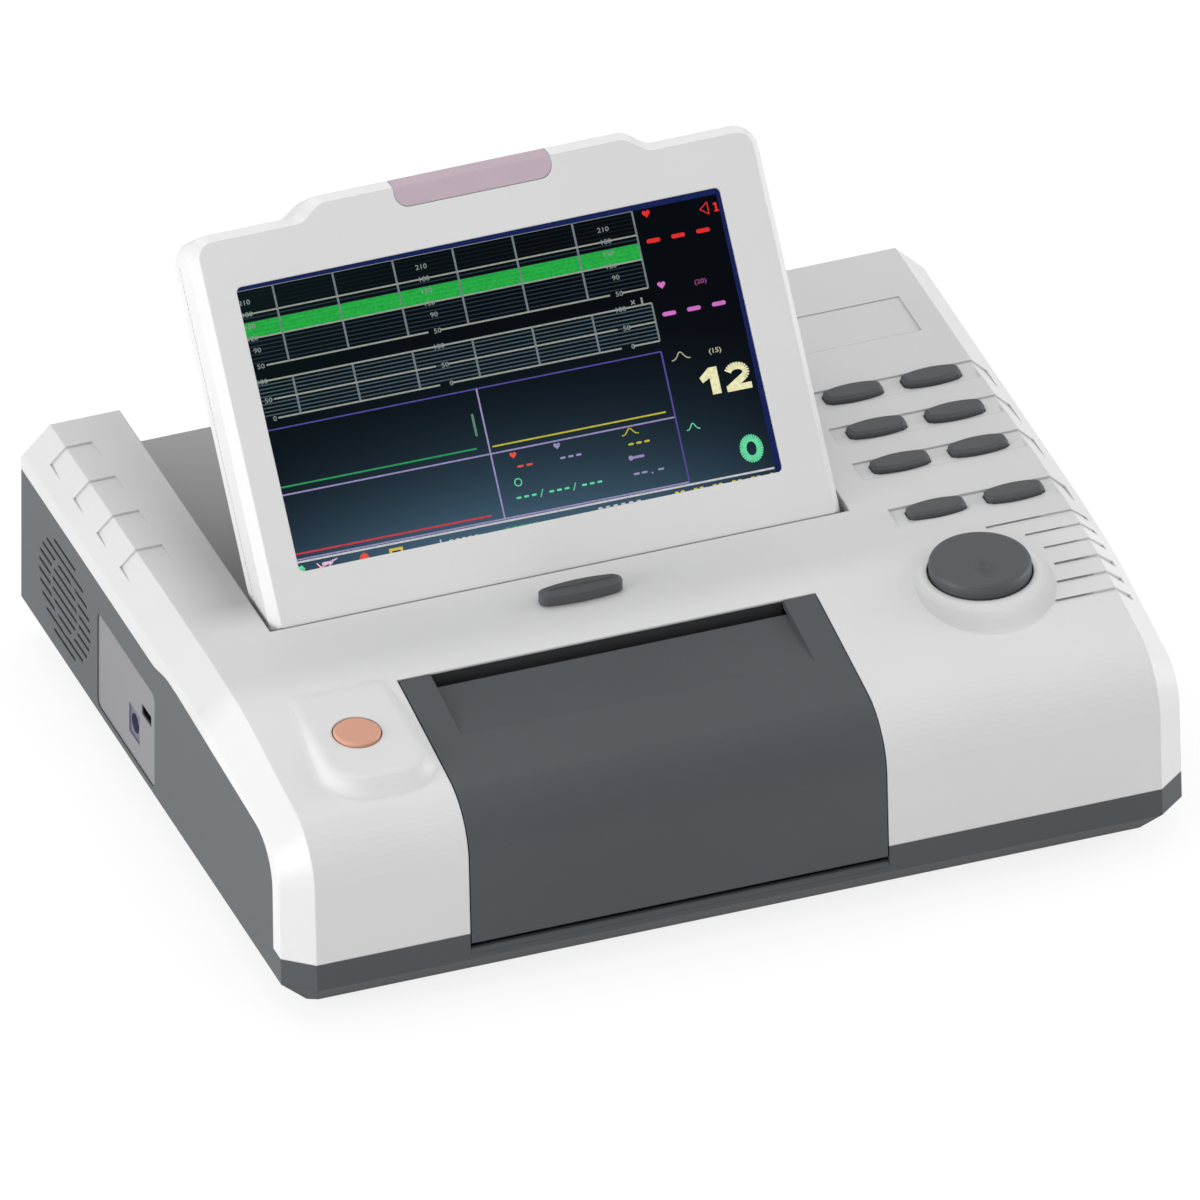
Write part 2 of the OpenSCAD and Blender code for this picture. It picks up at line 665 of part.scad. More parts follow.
// rotary encoder under the knob
enc_z = knob_z - knob_skirt - 1.4 - 2.2;
module encoder_body() color(steel) on_feet() translate([knob_x, knob_y, enc_z]) {
    difference() {
        union() {
            translate([-7, -7, -9]) cube([14, 14, 9]);
            translate([-16, -10, -10.6]) cube([32, 20, 1.6 + eps]);
            for (x = [-13, 13]) translate([x, 0, -9]) cylinder(h = 9, d = 5, $fn = 24);
        }
        translate([0, 0, -7]) cylinder(h = 9, r = 4.6, $fn = 40);
    }
}
module encoder_sleeve() color(brass) on_feet() translate([knob_x, knob_y, enc_z]) difference() {
    translate([0, 0, -5.6]) cylinder(h = 6.6, r = 4.5, $fn = 40);
    translate([0, 0, -4]) cylinder(h = 9, r = 3.06, $fn = 40);
}
// the knob is a hub that reaches into the collar, with its shaft, under a soft cap
hub_rise = 1.5;
module knob_hub() color(grey) on_feet() translate([knob_x, knob_y, knob_z]) {
    rotate_extrude($fn = 96) polygon([[0, -knob_skirt + 1], [knob_d / 2 - 2, -knob_skirt + 1],
        [knob_d / 2 - 2, -knob_skirt], [knob_d / 2, -knob_skirt], [knob_d / 2, hub_rise],
        [0, hub_rise]]);
    translate([0, 0, enc_z - knob_z - 3.8])
        cylinder(h = knob_z - enc_z + 3.8 - knob_skirt + 1 + eps, r = 3, $fn = 40);
}
module knob() color(grey) on_feet() translate([knob_x, knob_y, knob_z]) difference() {
    rotate_extrude($fn = 96) polygon([[0, hub_rise], [knob_d / 2, hub_rise],
        [knob_d / 2, knob_rise - 1.6], [knob_d / 2 - 0.5, knob_rise - 0.6],
        [knob_d / 2 - 1.7, knob_rise], [0, knob_rise]]);
    // hollow for a fingertip
    translate([-0.4, -7.8, knob_rise + 12.2]) sphere(r = 13.3, $fn = 48);
}

// printer
module door_section(t, ramp) {
    difference() {
        polygon(rim(0, 0, 0, 0));
        polygon(rim(t, t, 30, -9));
        translate([ramp ? slot_y : door_top_y, -9]) square([300, 200]);
        translate([front_y - 9, -9]) square([99, door_low_z + 9]);
        translate([face_y(door_low_z), door_low_z]) rotate(45) square(1.8, center = true);
    }
}
module printer_door() color(grey) on_feet() {
    side_l = (door_w - ramp_w) / 2;
    for (s = [-1, 1]) along_x(side_l, door_x + s * (door_w - side_l) / 2) door_section(door_t, false);
    difference() {
        union() {
            along_x(ramp_w, door_x) door_section(door_t, true);
            // thicker skin under the ramp
            along_x(ramp_w, door_x) intersection() {
                door_section(door_t + ramp_depth, true);
                translate([ramp_end_y - 4, 60]) square([60, 60]);
            }
        }
        along_x(ramp_w, door_x) polygon([[slot_y + 1, top_z(slot_y) - ramp_depth],
            [slot_y + 1, 99], [ramp_end_y, 99], [ramp_end_y, top_z(ramp_end_y)]]);
    }
    // hinge lugs and the ribs that stiffen both sides
    for (x = [door_x0 + 1, door_x1 - 1 - lug_w]) difference() {
        union() {
            translate([x, door_axis_y, door_axis_z]) rotate([0, 90, 0])
                cylinder(h = lug_w, r = 3.6, $fn = 40);
            translate([x, face_y(door_axis_z) + 1.5, door_axis_z - 2]) cube([lug_w, 4.2, 12]);
        }
        translate([x - 1, door_axis_y, door_axis_z]) rotate([0, 90, 0])
            cylinder(h = lug_w + 2, r = door_pin_r + 0.05, $fn = 32);
    }
    for (x = [door_x0 + 8, door_x1 - 8])
        along_x(2, x) intersection() {
            door_section(9, false);
            translate([front_y - 9, 40]) square([70, 60]);
        }
}
// hooks under the door's upper corners: the latch's arms lie over their toes, and the
// toes push the arms back as the door closes
arm_x = (ramp_w + door_side) / 2;
arm_w = 5;
arm_tip_y = door_top_y - 0.4;
toe_y = door_top_y + 1.6;
toe_z = bar_z - 0.4;
toe_t = 2.6;
hook_t = 2.4;
hook_y = crest_y - hook_t - 0.2;
// underside of the door's skin at y, on its straight stretch and the start of its crest
function under_door(y, t) =
    top_z(y) - t - max(y - crest_y, 0) * (tan(front_slope) - tan(front_slope - crest_turn));
module door_catches() color(grey) on_feet() for (s = [-1, 1]) along_x(arm_w, latch_x + s * arm_x)
    polygon([[hook_y, under_door(hook_y, door_t)],
        [hook_y + hook_t, under_door(hook_y + hook_t, door_t)], [hook_y + hook_t, toe_z],
        [toe_y, toe_z], [toe_y, toe_z - toe_t + 0.8], [toe_y - 0.8, toe_z - toe_t],
        [hook_y + 1.5, toe_z - toe_t], [hook_y, toe_z - toe_t + 1.5]]);
ramp_depth = 3.2;
ramp_end_y = slot_y - 29;
lug_w = 6;
module door_pins() color(steel) on_feet()
    for (x = [cheek_x0 - cheek_t, cheek_x1 - 6.9]) translate([x, door_axis_y, door_axis_z])
        rotate([0, 90, 0]) cylinder(h = cheek_t + 6.9, r = door_pin_r, $fn = 32);
// bar inside the door that leads the paper to the slot
module door_paper_guide() color(black) on_feet()
    along_x(ramp_w - 8, door_x)
        polygon(concat([for (y = [slot_y - 1, crest_y, guide_end_y]) [y, under_ramp(y)]],
            [[guide_end_y, under_ramp(guide_end_y) - 1], [slot_y - 1, under_ramp(slot_y - 1) - 5]]));
guide_end_y = slot_y - 12;
function under_ramp(y) = under_door(y, door_t + ramp_depth);

// black bar with the edge that tears the paper, under the cover's lip
cutter_t = 3;
cutter_lip = 1.2;
module paper_cutter() color(black) on_feet()
    translate([door_x - ramp_w / 2, door_top_y + door_gap + 0.1, slope_z - 9])
        cube([ramp_w, cutter_t - 0.1, 9 - cutter_lip - 0.05]);

tray_y0 = front_y + 16.5;
tray_y1 = deck_y + 1;
module paper_tray() color([0.42, 0.44, 0.46]) on_feet() {
    low = wall + 1.6;
    span = cheek_x1 - cheek_x0 + 2 * eps;
    difference() {
        union() {
            for (x = [cheek_x0 - cheek_t / 2, cheek_x1 + cheek_t / 2]) along_x(cheek_t, x)
                intersection() {
                    polygon(rim(wall + 0.4, wall + 0.4, 30, 0));
                    polygon([[tray_y1, low], [tray_y1, roller_z - 3.5],
                        [roller_y + 10, roller_z + 9.5], [roller_y - 8, roller_z + 20.5],
                        [front_y - 15, roller_z + 20.5], [front_y - 15, door_axis_z - 6],
                        [door_axis_y - 3, door_axis_z - 6], [tray_y0 + 0.5, low]]);
                }
            translate([cheek_x0 - eps, tray_y0, low]) cube([span, tray_y1 - tray_y0, cheek_t]);
            translate([cheek_x0 - eps, tray_y1 - cheek_t, low]) cube([span, cheek_t, 52]);
            translate([cheek_x0 - eps, tray_y0 - 2, low]) cube([span, 2.4, 9]);
            // posts for the motor's flange and the idler's axle
            for (p = motor_posts) translate([cheek_x1 + cheek_t - eps, p[0], p[1]])
                rotate([0, 90, 0]) cylinder(h = motor_off, d = 5, $fn = 24);
        }
        translate([cheek_x0 - 9, roller_y, roller_z]) rotate([0, 90, 0])
            cylinder(h = cheek_x1 - cheek_x0 + 18, r = shaft_r + 0.06, $fn = 40);
        translate([cheek_x1 - 1, idler_y, idler_z]) rotate([0, 90, 0])
            cylinder(h = cheek_t + 2, r = 2, $fn = 32);
        for (x = [cheek_x0 - cheek_t - 1, cheek_x1 - 1]) translate([x, door_axis_y, door_axis_z])
            rotate([0, 90, 0]) cylinder(h = cheek_t + 2, r = door_pin_r, $fn = 32);
    }
}
motor_off = 7;
motor_posts = [for (a = [60, 210]) [motor_y + 21.5 * cos(a), motor_z + 21.5 * sin(a)]];

module platen_roller() color(rubber_black) on_feet()
    translate([door_x - paper_w / 2 - 1, roller_y, roller_z]) rotate([0, 90, 0]) difference() {
        cylinder(h = paper_w + 2, r = roller_r, $fn = 64);
        translate([0, 0, -1]) cylinder(h = paper_w + 4, r = shaft_r, $fn = 40);
    }
module platen_shaft() color(steel) on_feet()
    translate([cheek_x0 - cheek_t, roller_y, roller_z]) rotate([0, 90, 0])
        cylinder(h = gear_x + gear_w - cheek_x0 + cheek_t, r = shaft_r, $fn = 40);

// spur gear: involute flanks between root and tip circles, thinned by the backlash
function roll(rb, r) = sqrt(max(r * r / (rb * rb) - 1, 0)) * 180 / PI - acos(min(rb / r, 1));
module gear(teeth, m, w, bore, turn, backlash = 0.12) {
    rp = m * teeth / 2;
    rb = rp * cos(20);
    ra = rp + m * 0.95;
    rr = rp - m * 1.25;
    half = 90 / teeth - backlash / rp * 90 / PI + roll(rb, rp);
    r0 = max(rb, rr);
    flank = [for (i = [0:4]) let (r = r0 + (ra - r0) * i / 4) [r, half - roll(rb, r)]];
    pts = [for (t = [0:teeth - 1]) let (c = 360 / teeth * t)
        each concat([[rr, c - half - 0.5]], [for (f = flank) [f[0], c - f[1]]],
            [for (i = [4:-1:0]) [flank[i][0], c + flank[i][1]]], [[rr, c + half + 0.5]])];
    rotate([0, 90, 0]) rotate(turn) difference() {
        linear_extrude(w) polygon([for (p = pts) p[0] * [cos(p[1]), sin(p[1])]]);
        translate([0, 0, -1]) cylinder(h = w + 2, r = bore, $fn = 40);
    }
}
// directions are measured in the gear's own plane, whose first axis points down
to_idler = atan2(idler_y - roller_y, roller_z - idler_z);
to_motor = atan2(motor_y - idler_y, idler_z - motor_z);
idler_phase = to_idler + 180 + 180 / idler_teeth;
motor_phase = to_motor + 180 + 180 / motor_teeth
    - (idler_phase - to_motor) * idler_teeth / motor_teeth;
module platen_gear() color(white) on_feet() translate([gear_x, roller_y, roller_z])
    gear(platen_teeth, gear_m, gear_w, shaft_r, to_idler);
module idler_gear() color(white) on_feet() translate([gear_x, idler_y, idler_z])
    gear(idler_teeth, gear_m, gear_w, 2.06, idler_phase);
module idler_axle() color(steel) on_feet() translate([cheek_x1, idler_y, idler_z])
    rotate([0, 90, 0]) cylinder(h = cheek_t + motor_off - 0.4, r = 2, $fn = 32);
module motor_gear() color(brass) on_feet() {
    translate([gear_x, motor_y, motor_z]) gear(motor_teeth, gear_m, gear_w, 1.5, motor_phase);
    translate([gear_x, motor_y, motor_z]) rotate([0, 90, 0])
        cylinder(h = motor_off + 10, r = 1.5, $fn = 32);
}
module stepper_motor() color(steel) on_feet()
    translate([cheek_x1 + cheek_t + motor_off, motor_y, motor_z]) rotate([0, 90, 0]) difference() {
        union() {
            cylinder(h = 1.5, r = 17.5, $fn = 64);
            for (p = motor_posts) translate([motor_z - p[1], p[0] - motor_y, 0])
                cylinder(h = 1.5, r = 4.5, $fn = 32);
            for (p = motor_posts) rotate(atan2(p[0] - motor_y, motor_z - p[1]))
                translate([10, -4, 0]) cube([11.5, 8, 1.5]);
            cylinder(h = 16, r = 17, $fn = 64);
        }
        translate([0, 0, -1]) cylinder(h = 14, r = 1.56, $fn = 32);
    }

head_y = roller_y + roller_r;
module print_head() color(steel) on_feet()
    translate([door_x - paper_w / 2 - 5, head_y + 0.05, roller_z - 12.5]) {
        cube([paper_w + 10, 1.2, 19]);
        translate([2, 1.2 - eps, 2]) cube([paper_w + 6, 3, 15]);
    }
module head_springs() color(steel) on_feet() for (x = [-40, 0, 40])
    translate([door_x + x, head_y + 4.25 - eps, roller_z - 3.5]) rotate([-90, 0, 0])
    difference() {
        cylinder(h = frame_y - head_y - 4.25 + eps, r = 3, $fn = 32);
        translate([0, 0, -1]) cylinder(h = 30, r = 2.4, $fn = 32);
    }
frame_y = roller_y + 17;
frame_z = roller_z - 15.5;
module printer_frame() color(steel) on_feet() {
    translate([cheek_x0, frame_y, frame_z]) cube([cheek_x1 - cheek_x0, 1.5, 18]);
    for (s = [-1, 1]) translate([door_x + s * (paper_w / 2 + 7) - 0.75, frame_y - 11, frame_z])
        cube([1.5, 11 + eps, 18]);
}

module latch_slider() color(grey) on_feet() {
    translate([latch_x, latch_y, deck_z + 0.1]) {
        hull() {
            linear_extrude(latch_h - 1.2) barrel(latch_l, latch_w, 2);
            linear_extrude(latch_h) barrel(latch_l - 3, latch_w - 2.6, 1.4);
        }
        // ridge for the fingertip
        translate([-latch_l / 2 + 4, -0.5, latch_h - eps]) cube([latch_l - 8, 1, 0.5]);
    }
    translate([latch_x - 12, latch_y - 2, bar_z + bar_t - eps])
        cube([24, 4, deck_z - bar_z - bar_t + 0.2]);
    translate([latch_x - arm_x - arm_w / 2, latch_y - 4, bar_z])
        cube([2 * arm_x + arm_w, bar_l, bar_t]);
    for (s = [-1, 1]) translate([latch_x + s * arm_x - arm_w / 2, arm_tip_y, bar_z])
        cube([arm_w, latch_y - arm_tip_y - 3, bar_t]);
}
bar_l = 10;
module latch_spring() color(steel) on_feet()
    translate([latch_x, latch_y - 4 + bar_l, bar_z + 0.8]) rotate([-90, 0, 0]) difference() {
        cylinder(h = bay_front_y - wall - latch_y + 4 - bar_l, r = 1.9, $fn = 24);
        translate([0, 0, -1]) cylinder(h = 30, r = 1.4, $fn = 24);
    }

// screen
module on_screen() on_feet() translate([disp_x, disp_y, disp_z]) rotate([disp_tilt, 0, 0])
    children();
hump_low_w = 137;
hump_top_w = 113.5;
hump_x = 0.8;
lamp_x = 0.6;
lamp_low = 10.6;
rim_in = 3.1;
rim_deep = 4.7;
foot_in = 0.3;
corner_r = 9;
window_x = (bezel_left - bezel_right) / 2;
window_y = bezel_low + window_h / 2;
// the housing seen from the front, set in by t, and by low at its lower edge
module housing_outline(t) face_outline(t, t);
module face_outline(t, low) {
    w = disp_w - 2 * t;
    y0 = low;
    y1 = disp_h - t;
    r = max(corner_r - t, 1);
    r0 = 1;
    translate([-w / 2, y0 + r0]) square([w, y1 - y0 - r - r0]);
    translate([r - w / 2, y1 - r - 1]) square([w - 2 * r, r + 1]);
    translate([r0 - w / 2, y0]) square([w - 2 * r0, r0 + 1]);
    for (x = [-1, 1]) {
        translate([x * (w / 2 - r), y1 - r]) circle(r, $fn = 40);
        translate([x * (w / 2 - r0), y0 + r0]) circle(r0, $fn = 16);
    }
}
module plate_centred(w, h, r) {
    square([w - 2 * r, h], center = true);
    square([w, h - 2 * r], center = true);
    for (x = [-1, 1], y = [-1, 1]) translate([x * (w / 2 - r), y * (h / 2 - r)])
        circle(r, $fn = 40);
}
// the hump on the upper edge, set in by t: a low step whose ends rise in soft waves
hump_steps = 10;
hump_y = disp_h + hump_h;
function hump_ring(t) =
    let (a = hump_top_w / 2 - 0.4 * t, b = hump_low_w / 2 - 0.4 * t, low = disp_h - t,
         rise = [for (i = [0:hump_steps]) let (f = i / hump_steps)
             [b - (b - a) * f, low + hump_h * (1 - cos(180 * f)) / 2]])
    concat([[hump_x - b, low - 8], [hump_x + b, low - 8]],
        [for (p = rise) [hump_x + p[0], p[1]]],
        [for (i = [hump_steps:-1:0]) [hump_x - rise[i][0], rise[i][1]]]);
// a solid whose outline changes from one ring of points at z0 to another at z1
module between(ring0, z0, ring1, z1) {
    n = len(ring0);
    polyhedron(concat([for (p = ring0) [p[0], p[1], z0]], [for (p = ring1) [p[0], p[1], z1]]),
        concat([[for (i = [0:n - 1]) i], [for (i = [n - 1:-1:0]) n + i]],
            [for (i = [0:n - 1]) let (j = (i + 1) % n) each [[i, n + i, n + j], [i, n + j, j]]]));
}
module display_frame() color(white) on_screen() difference() {
    union() {
        difference() {
            union() {
                hull() {
                    translate([0, 0, -disp_front_t])
                        linear_extrude(disp_front_t - rim_deep) housing_outline(0);
                    // the bevel runs round three sides; the lower edge stays sharp
                    translate([0, 0, -eps]) linear_extrude(eps) face_outline(rim_in, foot_in);
                }
                translate([0, 0, -disp_front_t])
                    linear_extrude(disp_front_t - rim_deep) polygon(hump_ring(0));
                between(hump_ring(0), -rim_deep, hump_ring(rim_in), 0);
            }
            translate([0, 0, -disp_front_t - 1]) linear_extrude(disp_front_t - 3 + 1)
                housing_outline(3);
            translate([window_x, window_y, -9]) linear_extrude(7.8)
                plate_centred(window_w + 8, window_h + 8, 3);
            translate([window_x, window_y, -9]) linear_extrude(18)
                plate_centred(window_w, window_h, 2);
        }
        // pillars for the screws
        for (p = screen_screws) translate([p[0], p[1], -disp_t + 2.7])
            difference() {
                cylinder(h = disp_t - 2.7 - 2.9, r = 2.9, $fn = 32);
                translate([0, 0, -1]) cylinder(h = 10, r = 1.45, $fn = 24);
            }
        // seats for the hinge pins
        for (x = hinge_xs) translate([x - disp_x, hinge_up, -hinge_in]) difference() {
            translate([-post_w / 2 - 7, 2.6 - hinge_up, -disp_front_t + hinge_in])
                cube([post_w + 14, bezel_low - 3.65 - 2.6, disp_front_t - 2.9]);
            translate([-post_w, 0, 0]) rotate([0, 90, 0])
                cylinder(h = 2 * post_w, r = pin_r, $fn = 32);
        }
    }
    hinge_notches();
    lamp_space(0.15);
}
screen_screws = [for (y = [30, disp_h - 14.4], s = [-1, 1]) [s * (disp_w / 2 - 8.65), y]];
module hinge_notches() for (x = hinge_xs)
    translate([x - disp_x - post_w / 2 - 0.4, -9, -disp_t - 9])
        cube([post_w + 0.8, hinge_up + barrel_r + 9.4, disp_t + 9 - hinge_in + barrel_r + 0.3]);
module lamp_space(c) {
    top = disp_h + hump_h;
    translate([lamp_x, 0, -3.4 - c]) linear_extrude(9) lamp_outline(c);
    translate([lamp_x - lamp_w / 2 - c, top - 3.4 - c, -lamp_deep - c])
        cube([lamp_w + 2 * c, 9, 20]);
}
lamp_deep = 12.2;
module lamp_outline(c) {
    top = disp_h + hump_h;
    w = lamp_w + 2 * c;
    translate([-w / 2, top - lamp_low - c + 5]) square([w, lamp_low + c]);
    translate([-w / 2 + 5, top - lamp_low - c]) square([w - 10, 8]);
    for (x = [5 - w / 2, w / 2 - 5]) translate([x, top - lamp_low - c + 5]) circle(5, $fn = 24);
}
module alarm_lamp() color([0.78, 0.69, 0.74]) on_screen() {
    top = disp_h + hump_h;
    intersection() {
        along_x(lamp_w, lamp_x) polygon([[top - lamp_low, -3.4], [top - lamp_low, 0],
            [top - rim_in, 0], [top, -rim_deep], [top, -lamp_deep], [top - 3.4, -lamp_deep],
            [top - 3.4, -3.4]]);
        translate([lamp_x, 0, -20]) linear_extrude(30) lamp_outline(0);
    }
}
module display_back() color(white) on_screen() difference() {
    union() {
        hull() {
            translate([0, 0, -disp_front_t - 5]) linear_extrude(5) housing_outline(0);
            translate([0, 0, -disp_t]) linear_extrude(eps) housing_outline(4.2);
            translate([0, 0, -disp_t + 2.4]) linear_extrude(eps) housing_outline(1.6);
        }
        // the hump's back, with its upper edge sloped
        intersection() {
            translate([0, 0, -disp_t + 3]) linear_extrude(disp_back_t - 3) polygon(hump_ring(0));
            along_x(disp_w) polygon([[disp_h - 9, -disp_front_t], [hump_y, -disp_front_t],
                [hump_y, -disp_front_t - 4], [hump_y - 5, -disp_t + 3], [disp_h - 9, -disp_t + 3]]);
        }
    }
    translate([0, 0, -disp_t + 2.6]) linear_extrude(9) housing_outline(5.5);
    translate([0, 0, -disp_t + 5.6]) linear_extrude(9) housing_outline(3);
    hinge_notches();
    for (p = screen_screws) translate([p[0], p[1], -disp_t - 1]) {
        cylinder(h = 9, r = 1.6, $fn = 24);
        cylinder(h = 2.4, r = 3, $fn = 32);
    }
}
module display_screws() color(steel) on_screen() for (p = screen_screws)
    translate([p[0], p[1], -disp_t + 0.2]) {
        cylinder(h = 1.2, r = 2.7, $fn = 32);
        cylinder(h = 9, r = 1.4, $fn = 24);
    }
module screen_pane() color(black) on_screen() translate([window_x, window_y, -2.4])
    linear_extrude(1.2) plate_centred(window_w + 4.4, window_h + 7, 3);
module lcd_panel() color(steel) on_screen() {
    translate([window_x, window_y, -8.4]) linear_extrude(6)
        plate_centred(window_w + 4, window_h + 6.6, 2);
}
module display_board() color(board_green) on_screen() {
    w = window_w - 72.6;
    l = window_h - 27.1;
    translate([window_x - w / 2, window_y - l / 2, 0]) {
        translate([0, 0, -11.4]) cube([w, l, 1.6]);
        for (c = [[20, 14, 22, 22], [60, 20, 30, 14], [70, 50, 16, 16]])
            translate([c[0], c[1], -13.4 + eps]) cube([c[2], c[3], 2]);
        for (x = [6, w - 6], y = [6, l - 6]) translate([x, y, -9.8 - eps])
            cylinder(h = 1.4 + eps, d = 6, $fn = 24);
    }
}
module hinge_pins() color(steel) on_screen() for (x = hinge_xs)
    translate([x - disp_x - post_w / 2 - 6, hinge_up, -hinge_in]) rotate([0, 90, 0])
        cylinder(h = post_w + 12, r = pin_r, $fn = 32);
module hinge_posts() color([0.55, 0.56, 0.58]) on_feet() for (x = hinge_xs) difference() {
    union() {
        translate([x - post_w / 2, hinge_y, hinge_z]) rotate([0, 90, 0])
            cylinder(h = post_w, r = barrel_r, $fn = 48);
        along_x(post_w, x) polygon([[hinge_y - barrel_r, hinge_z], [hinge_y - barrel_r, bay_z + 5],
            [hinge_y - barrel_r - 3, bay_z], [hinge_y + barrel_r, bay_z],
            [hinge_y + barrel_r, hinge_z]]);
    }
    translate([x - post_w, hinge_y, hinge_z]) rotate([0, 90, 0])
        cylinder(h = 2 * post_w, r = pin_r + 0.06, $fn = 32);
}
module bay_bumpers() color(rubber_black) on_feet() for (x = [disp_x - 36, disp_x + 64])
    translate([x, rear_y - 23.5, bay_z])
        cylinder(h = hinge_z + hinge_in - disp_t - bay_z - 0.4, d = 10, $fn = 32);

base_tray();
rubber_feet();
base_screws();
port_panel();
port_board();
dc_jack();
usb_socket();
loudspeaker();
probe_sockets();
main_board();
battery_pack();
top_cover();
paper_tray();
printer_door();
door_pins();
door_catches();
door_paper_guide();
paper_cutter();
printer_frame();
platen_roller();
platen_shaft();
platen_gear();
idler_gear();
idler_axle();
stepper_motor();
motor_gear();
print_head();
head_springs();
latch_slider();
latch_spring();
power_button();
power_switch();
keypad_board();
key_cap(1);  // key_1
key_cap(2);  // key_2
key_cap(3);  // key_3
key_cap(4);  // key_4
key_cap(5);  // key_5
key_cap(6);  // key_6
key_cap(7);  // key_7
key_cap(8);  // key_8
encoder_body();
encoder_sleeve();
knob_hub();
knob();
hinge_posts();
hinge_pins();
display_frame();
display_back();
display_screws();
lcd_panel();
screen_pane();
alarm_lamp();
display_board();
bay_bumpers();
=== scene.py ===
"""Looks of the cardiotocograph: the finish of every part, the picture on the screen, fine trim,
the stage, the light and the camera. Blender works in metres, and MM is one millimetre."""

import json
import math

import bmesh
import bpy
from mathutils import Matrix, Vector
from mathutils.geometry import tessellate_polygon


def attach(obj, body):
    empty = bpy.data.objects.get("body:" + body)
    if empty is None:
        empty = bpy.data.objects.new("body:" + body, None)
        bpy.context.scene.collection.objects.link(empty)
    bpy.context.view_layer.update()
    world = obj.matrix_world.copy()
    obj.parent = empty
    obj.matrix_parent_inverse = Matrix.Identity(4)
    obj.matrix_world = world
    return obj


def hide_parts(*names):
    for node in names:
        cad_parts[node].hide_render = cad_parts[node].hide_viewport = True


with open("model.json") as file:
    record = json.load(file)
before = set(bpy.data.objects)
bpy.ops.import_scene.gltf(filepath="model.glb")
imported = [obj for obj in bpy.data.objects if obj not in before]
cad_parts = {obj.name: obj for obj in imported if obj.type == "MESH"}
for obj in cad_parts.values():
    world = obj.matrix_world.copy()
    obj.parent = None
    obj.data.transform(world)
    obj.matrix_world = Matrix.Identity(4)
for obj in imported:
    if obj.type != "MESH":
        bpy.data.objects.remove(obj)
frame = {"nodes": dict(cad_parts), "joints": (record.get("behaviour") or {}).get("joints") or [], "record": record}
NODES = frame["nodes"]
JOINTS = {joint["name"]: joint for joint in frame["joints"]}
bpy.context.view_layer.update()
MM = 0.001


def box_of(name):
    """The lowest and highest corner of a CAD part in its rest pose, in millimetres."""
    part = NODES[name]
    corners = [part.matrix_world @ Vector(corner) / MM for corner in part.bound_box]
    return Vector(map(min, *corners)), Vector(map(max, *corners))


def middle_of(name):
    """The middle of a CAD part in its rest pose, in metres."""
    low, high = box_of(name)
    return (low + high) / 2 * MM


# Colours, as linear red, green and blue with full cover

def srgb(r, g, b):
    """A colour given as it looks on a monitor, 0 to 255, as a linear colour."""
    def channel(c):
        c = c / 255
        return c / 12.92 if c <= 0.04045 else ((c + 0.055) / 1.055) ** 2.4
    return (channel(r), channel(g), channel(b), 1.0)


def shade(colour, factor):
    """The colour darker or lighter by a factor, at most full."""
    return tuple(min(1.0, c * factor) for c in colour[:3]) + (1.0,)


WHITE = srgb(216, 216, 216)
GREY = srgb(74, 78, 82)
CAP_GREY = srgb(75, 78, 81)
JACK_GREY = srgb(84, 84, 108)
DARK_GREY = srgb(52, 54, 57)
BLACK = srgb(24, 25, 27)
PLATE_GREY = srgb(123, 122, 127)
ORANGE = srgb(209, 154, 131)
IVORY = srgb(226, 223, 212)
# painted shadow of the dotted joint down the screen's left side
SEAM_SHADOW_GREY = srgb(176, 176, 176)
BATTERY_BLUE = srgb(40, 58, 96)
BUFF = srgb(196, 190, 178)
RUBBER_BLACK = srgb(22, 22, 23)
STEEL_GREY = (0.62, 0.63, 0.65, 1.0)
BRASS_YELLOW = (0.72, 0.52, 0.22, 1.0)
MASK_GREEN = srgb(22, 96, 60)
TRACK_GREEN = srgb(12, 62, 40)
CONE_DARK = srgb(17, 18, 19)
CONE_LIGHT = srgb(34, 35, 37)
LAMP_PINK = srgb(190, 171, 184)


# Shader nodes

SOFT_SAMPLES = 8
# reach of the painted crease shade
CREASE_REACH = 2.2 * MM
# most values of a noise, and of the open sky over a shallow step, lie between these
NOISE_SPAN = (0.3, 0.7)
OPEN_SPAN = (0.45, 0.95)


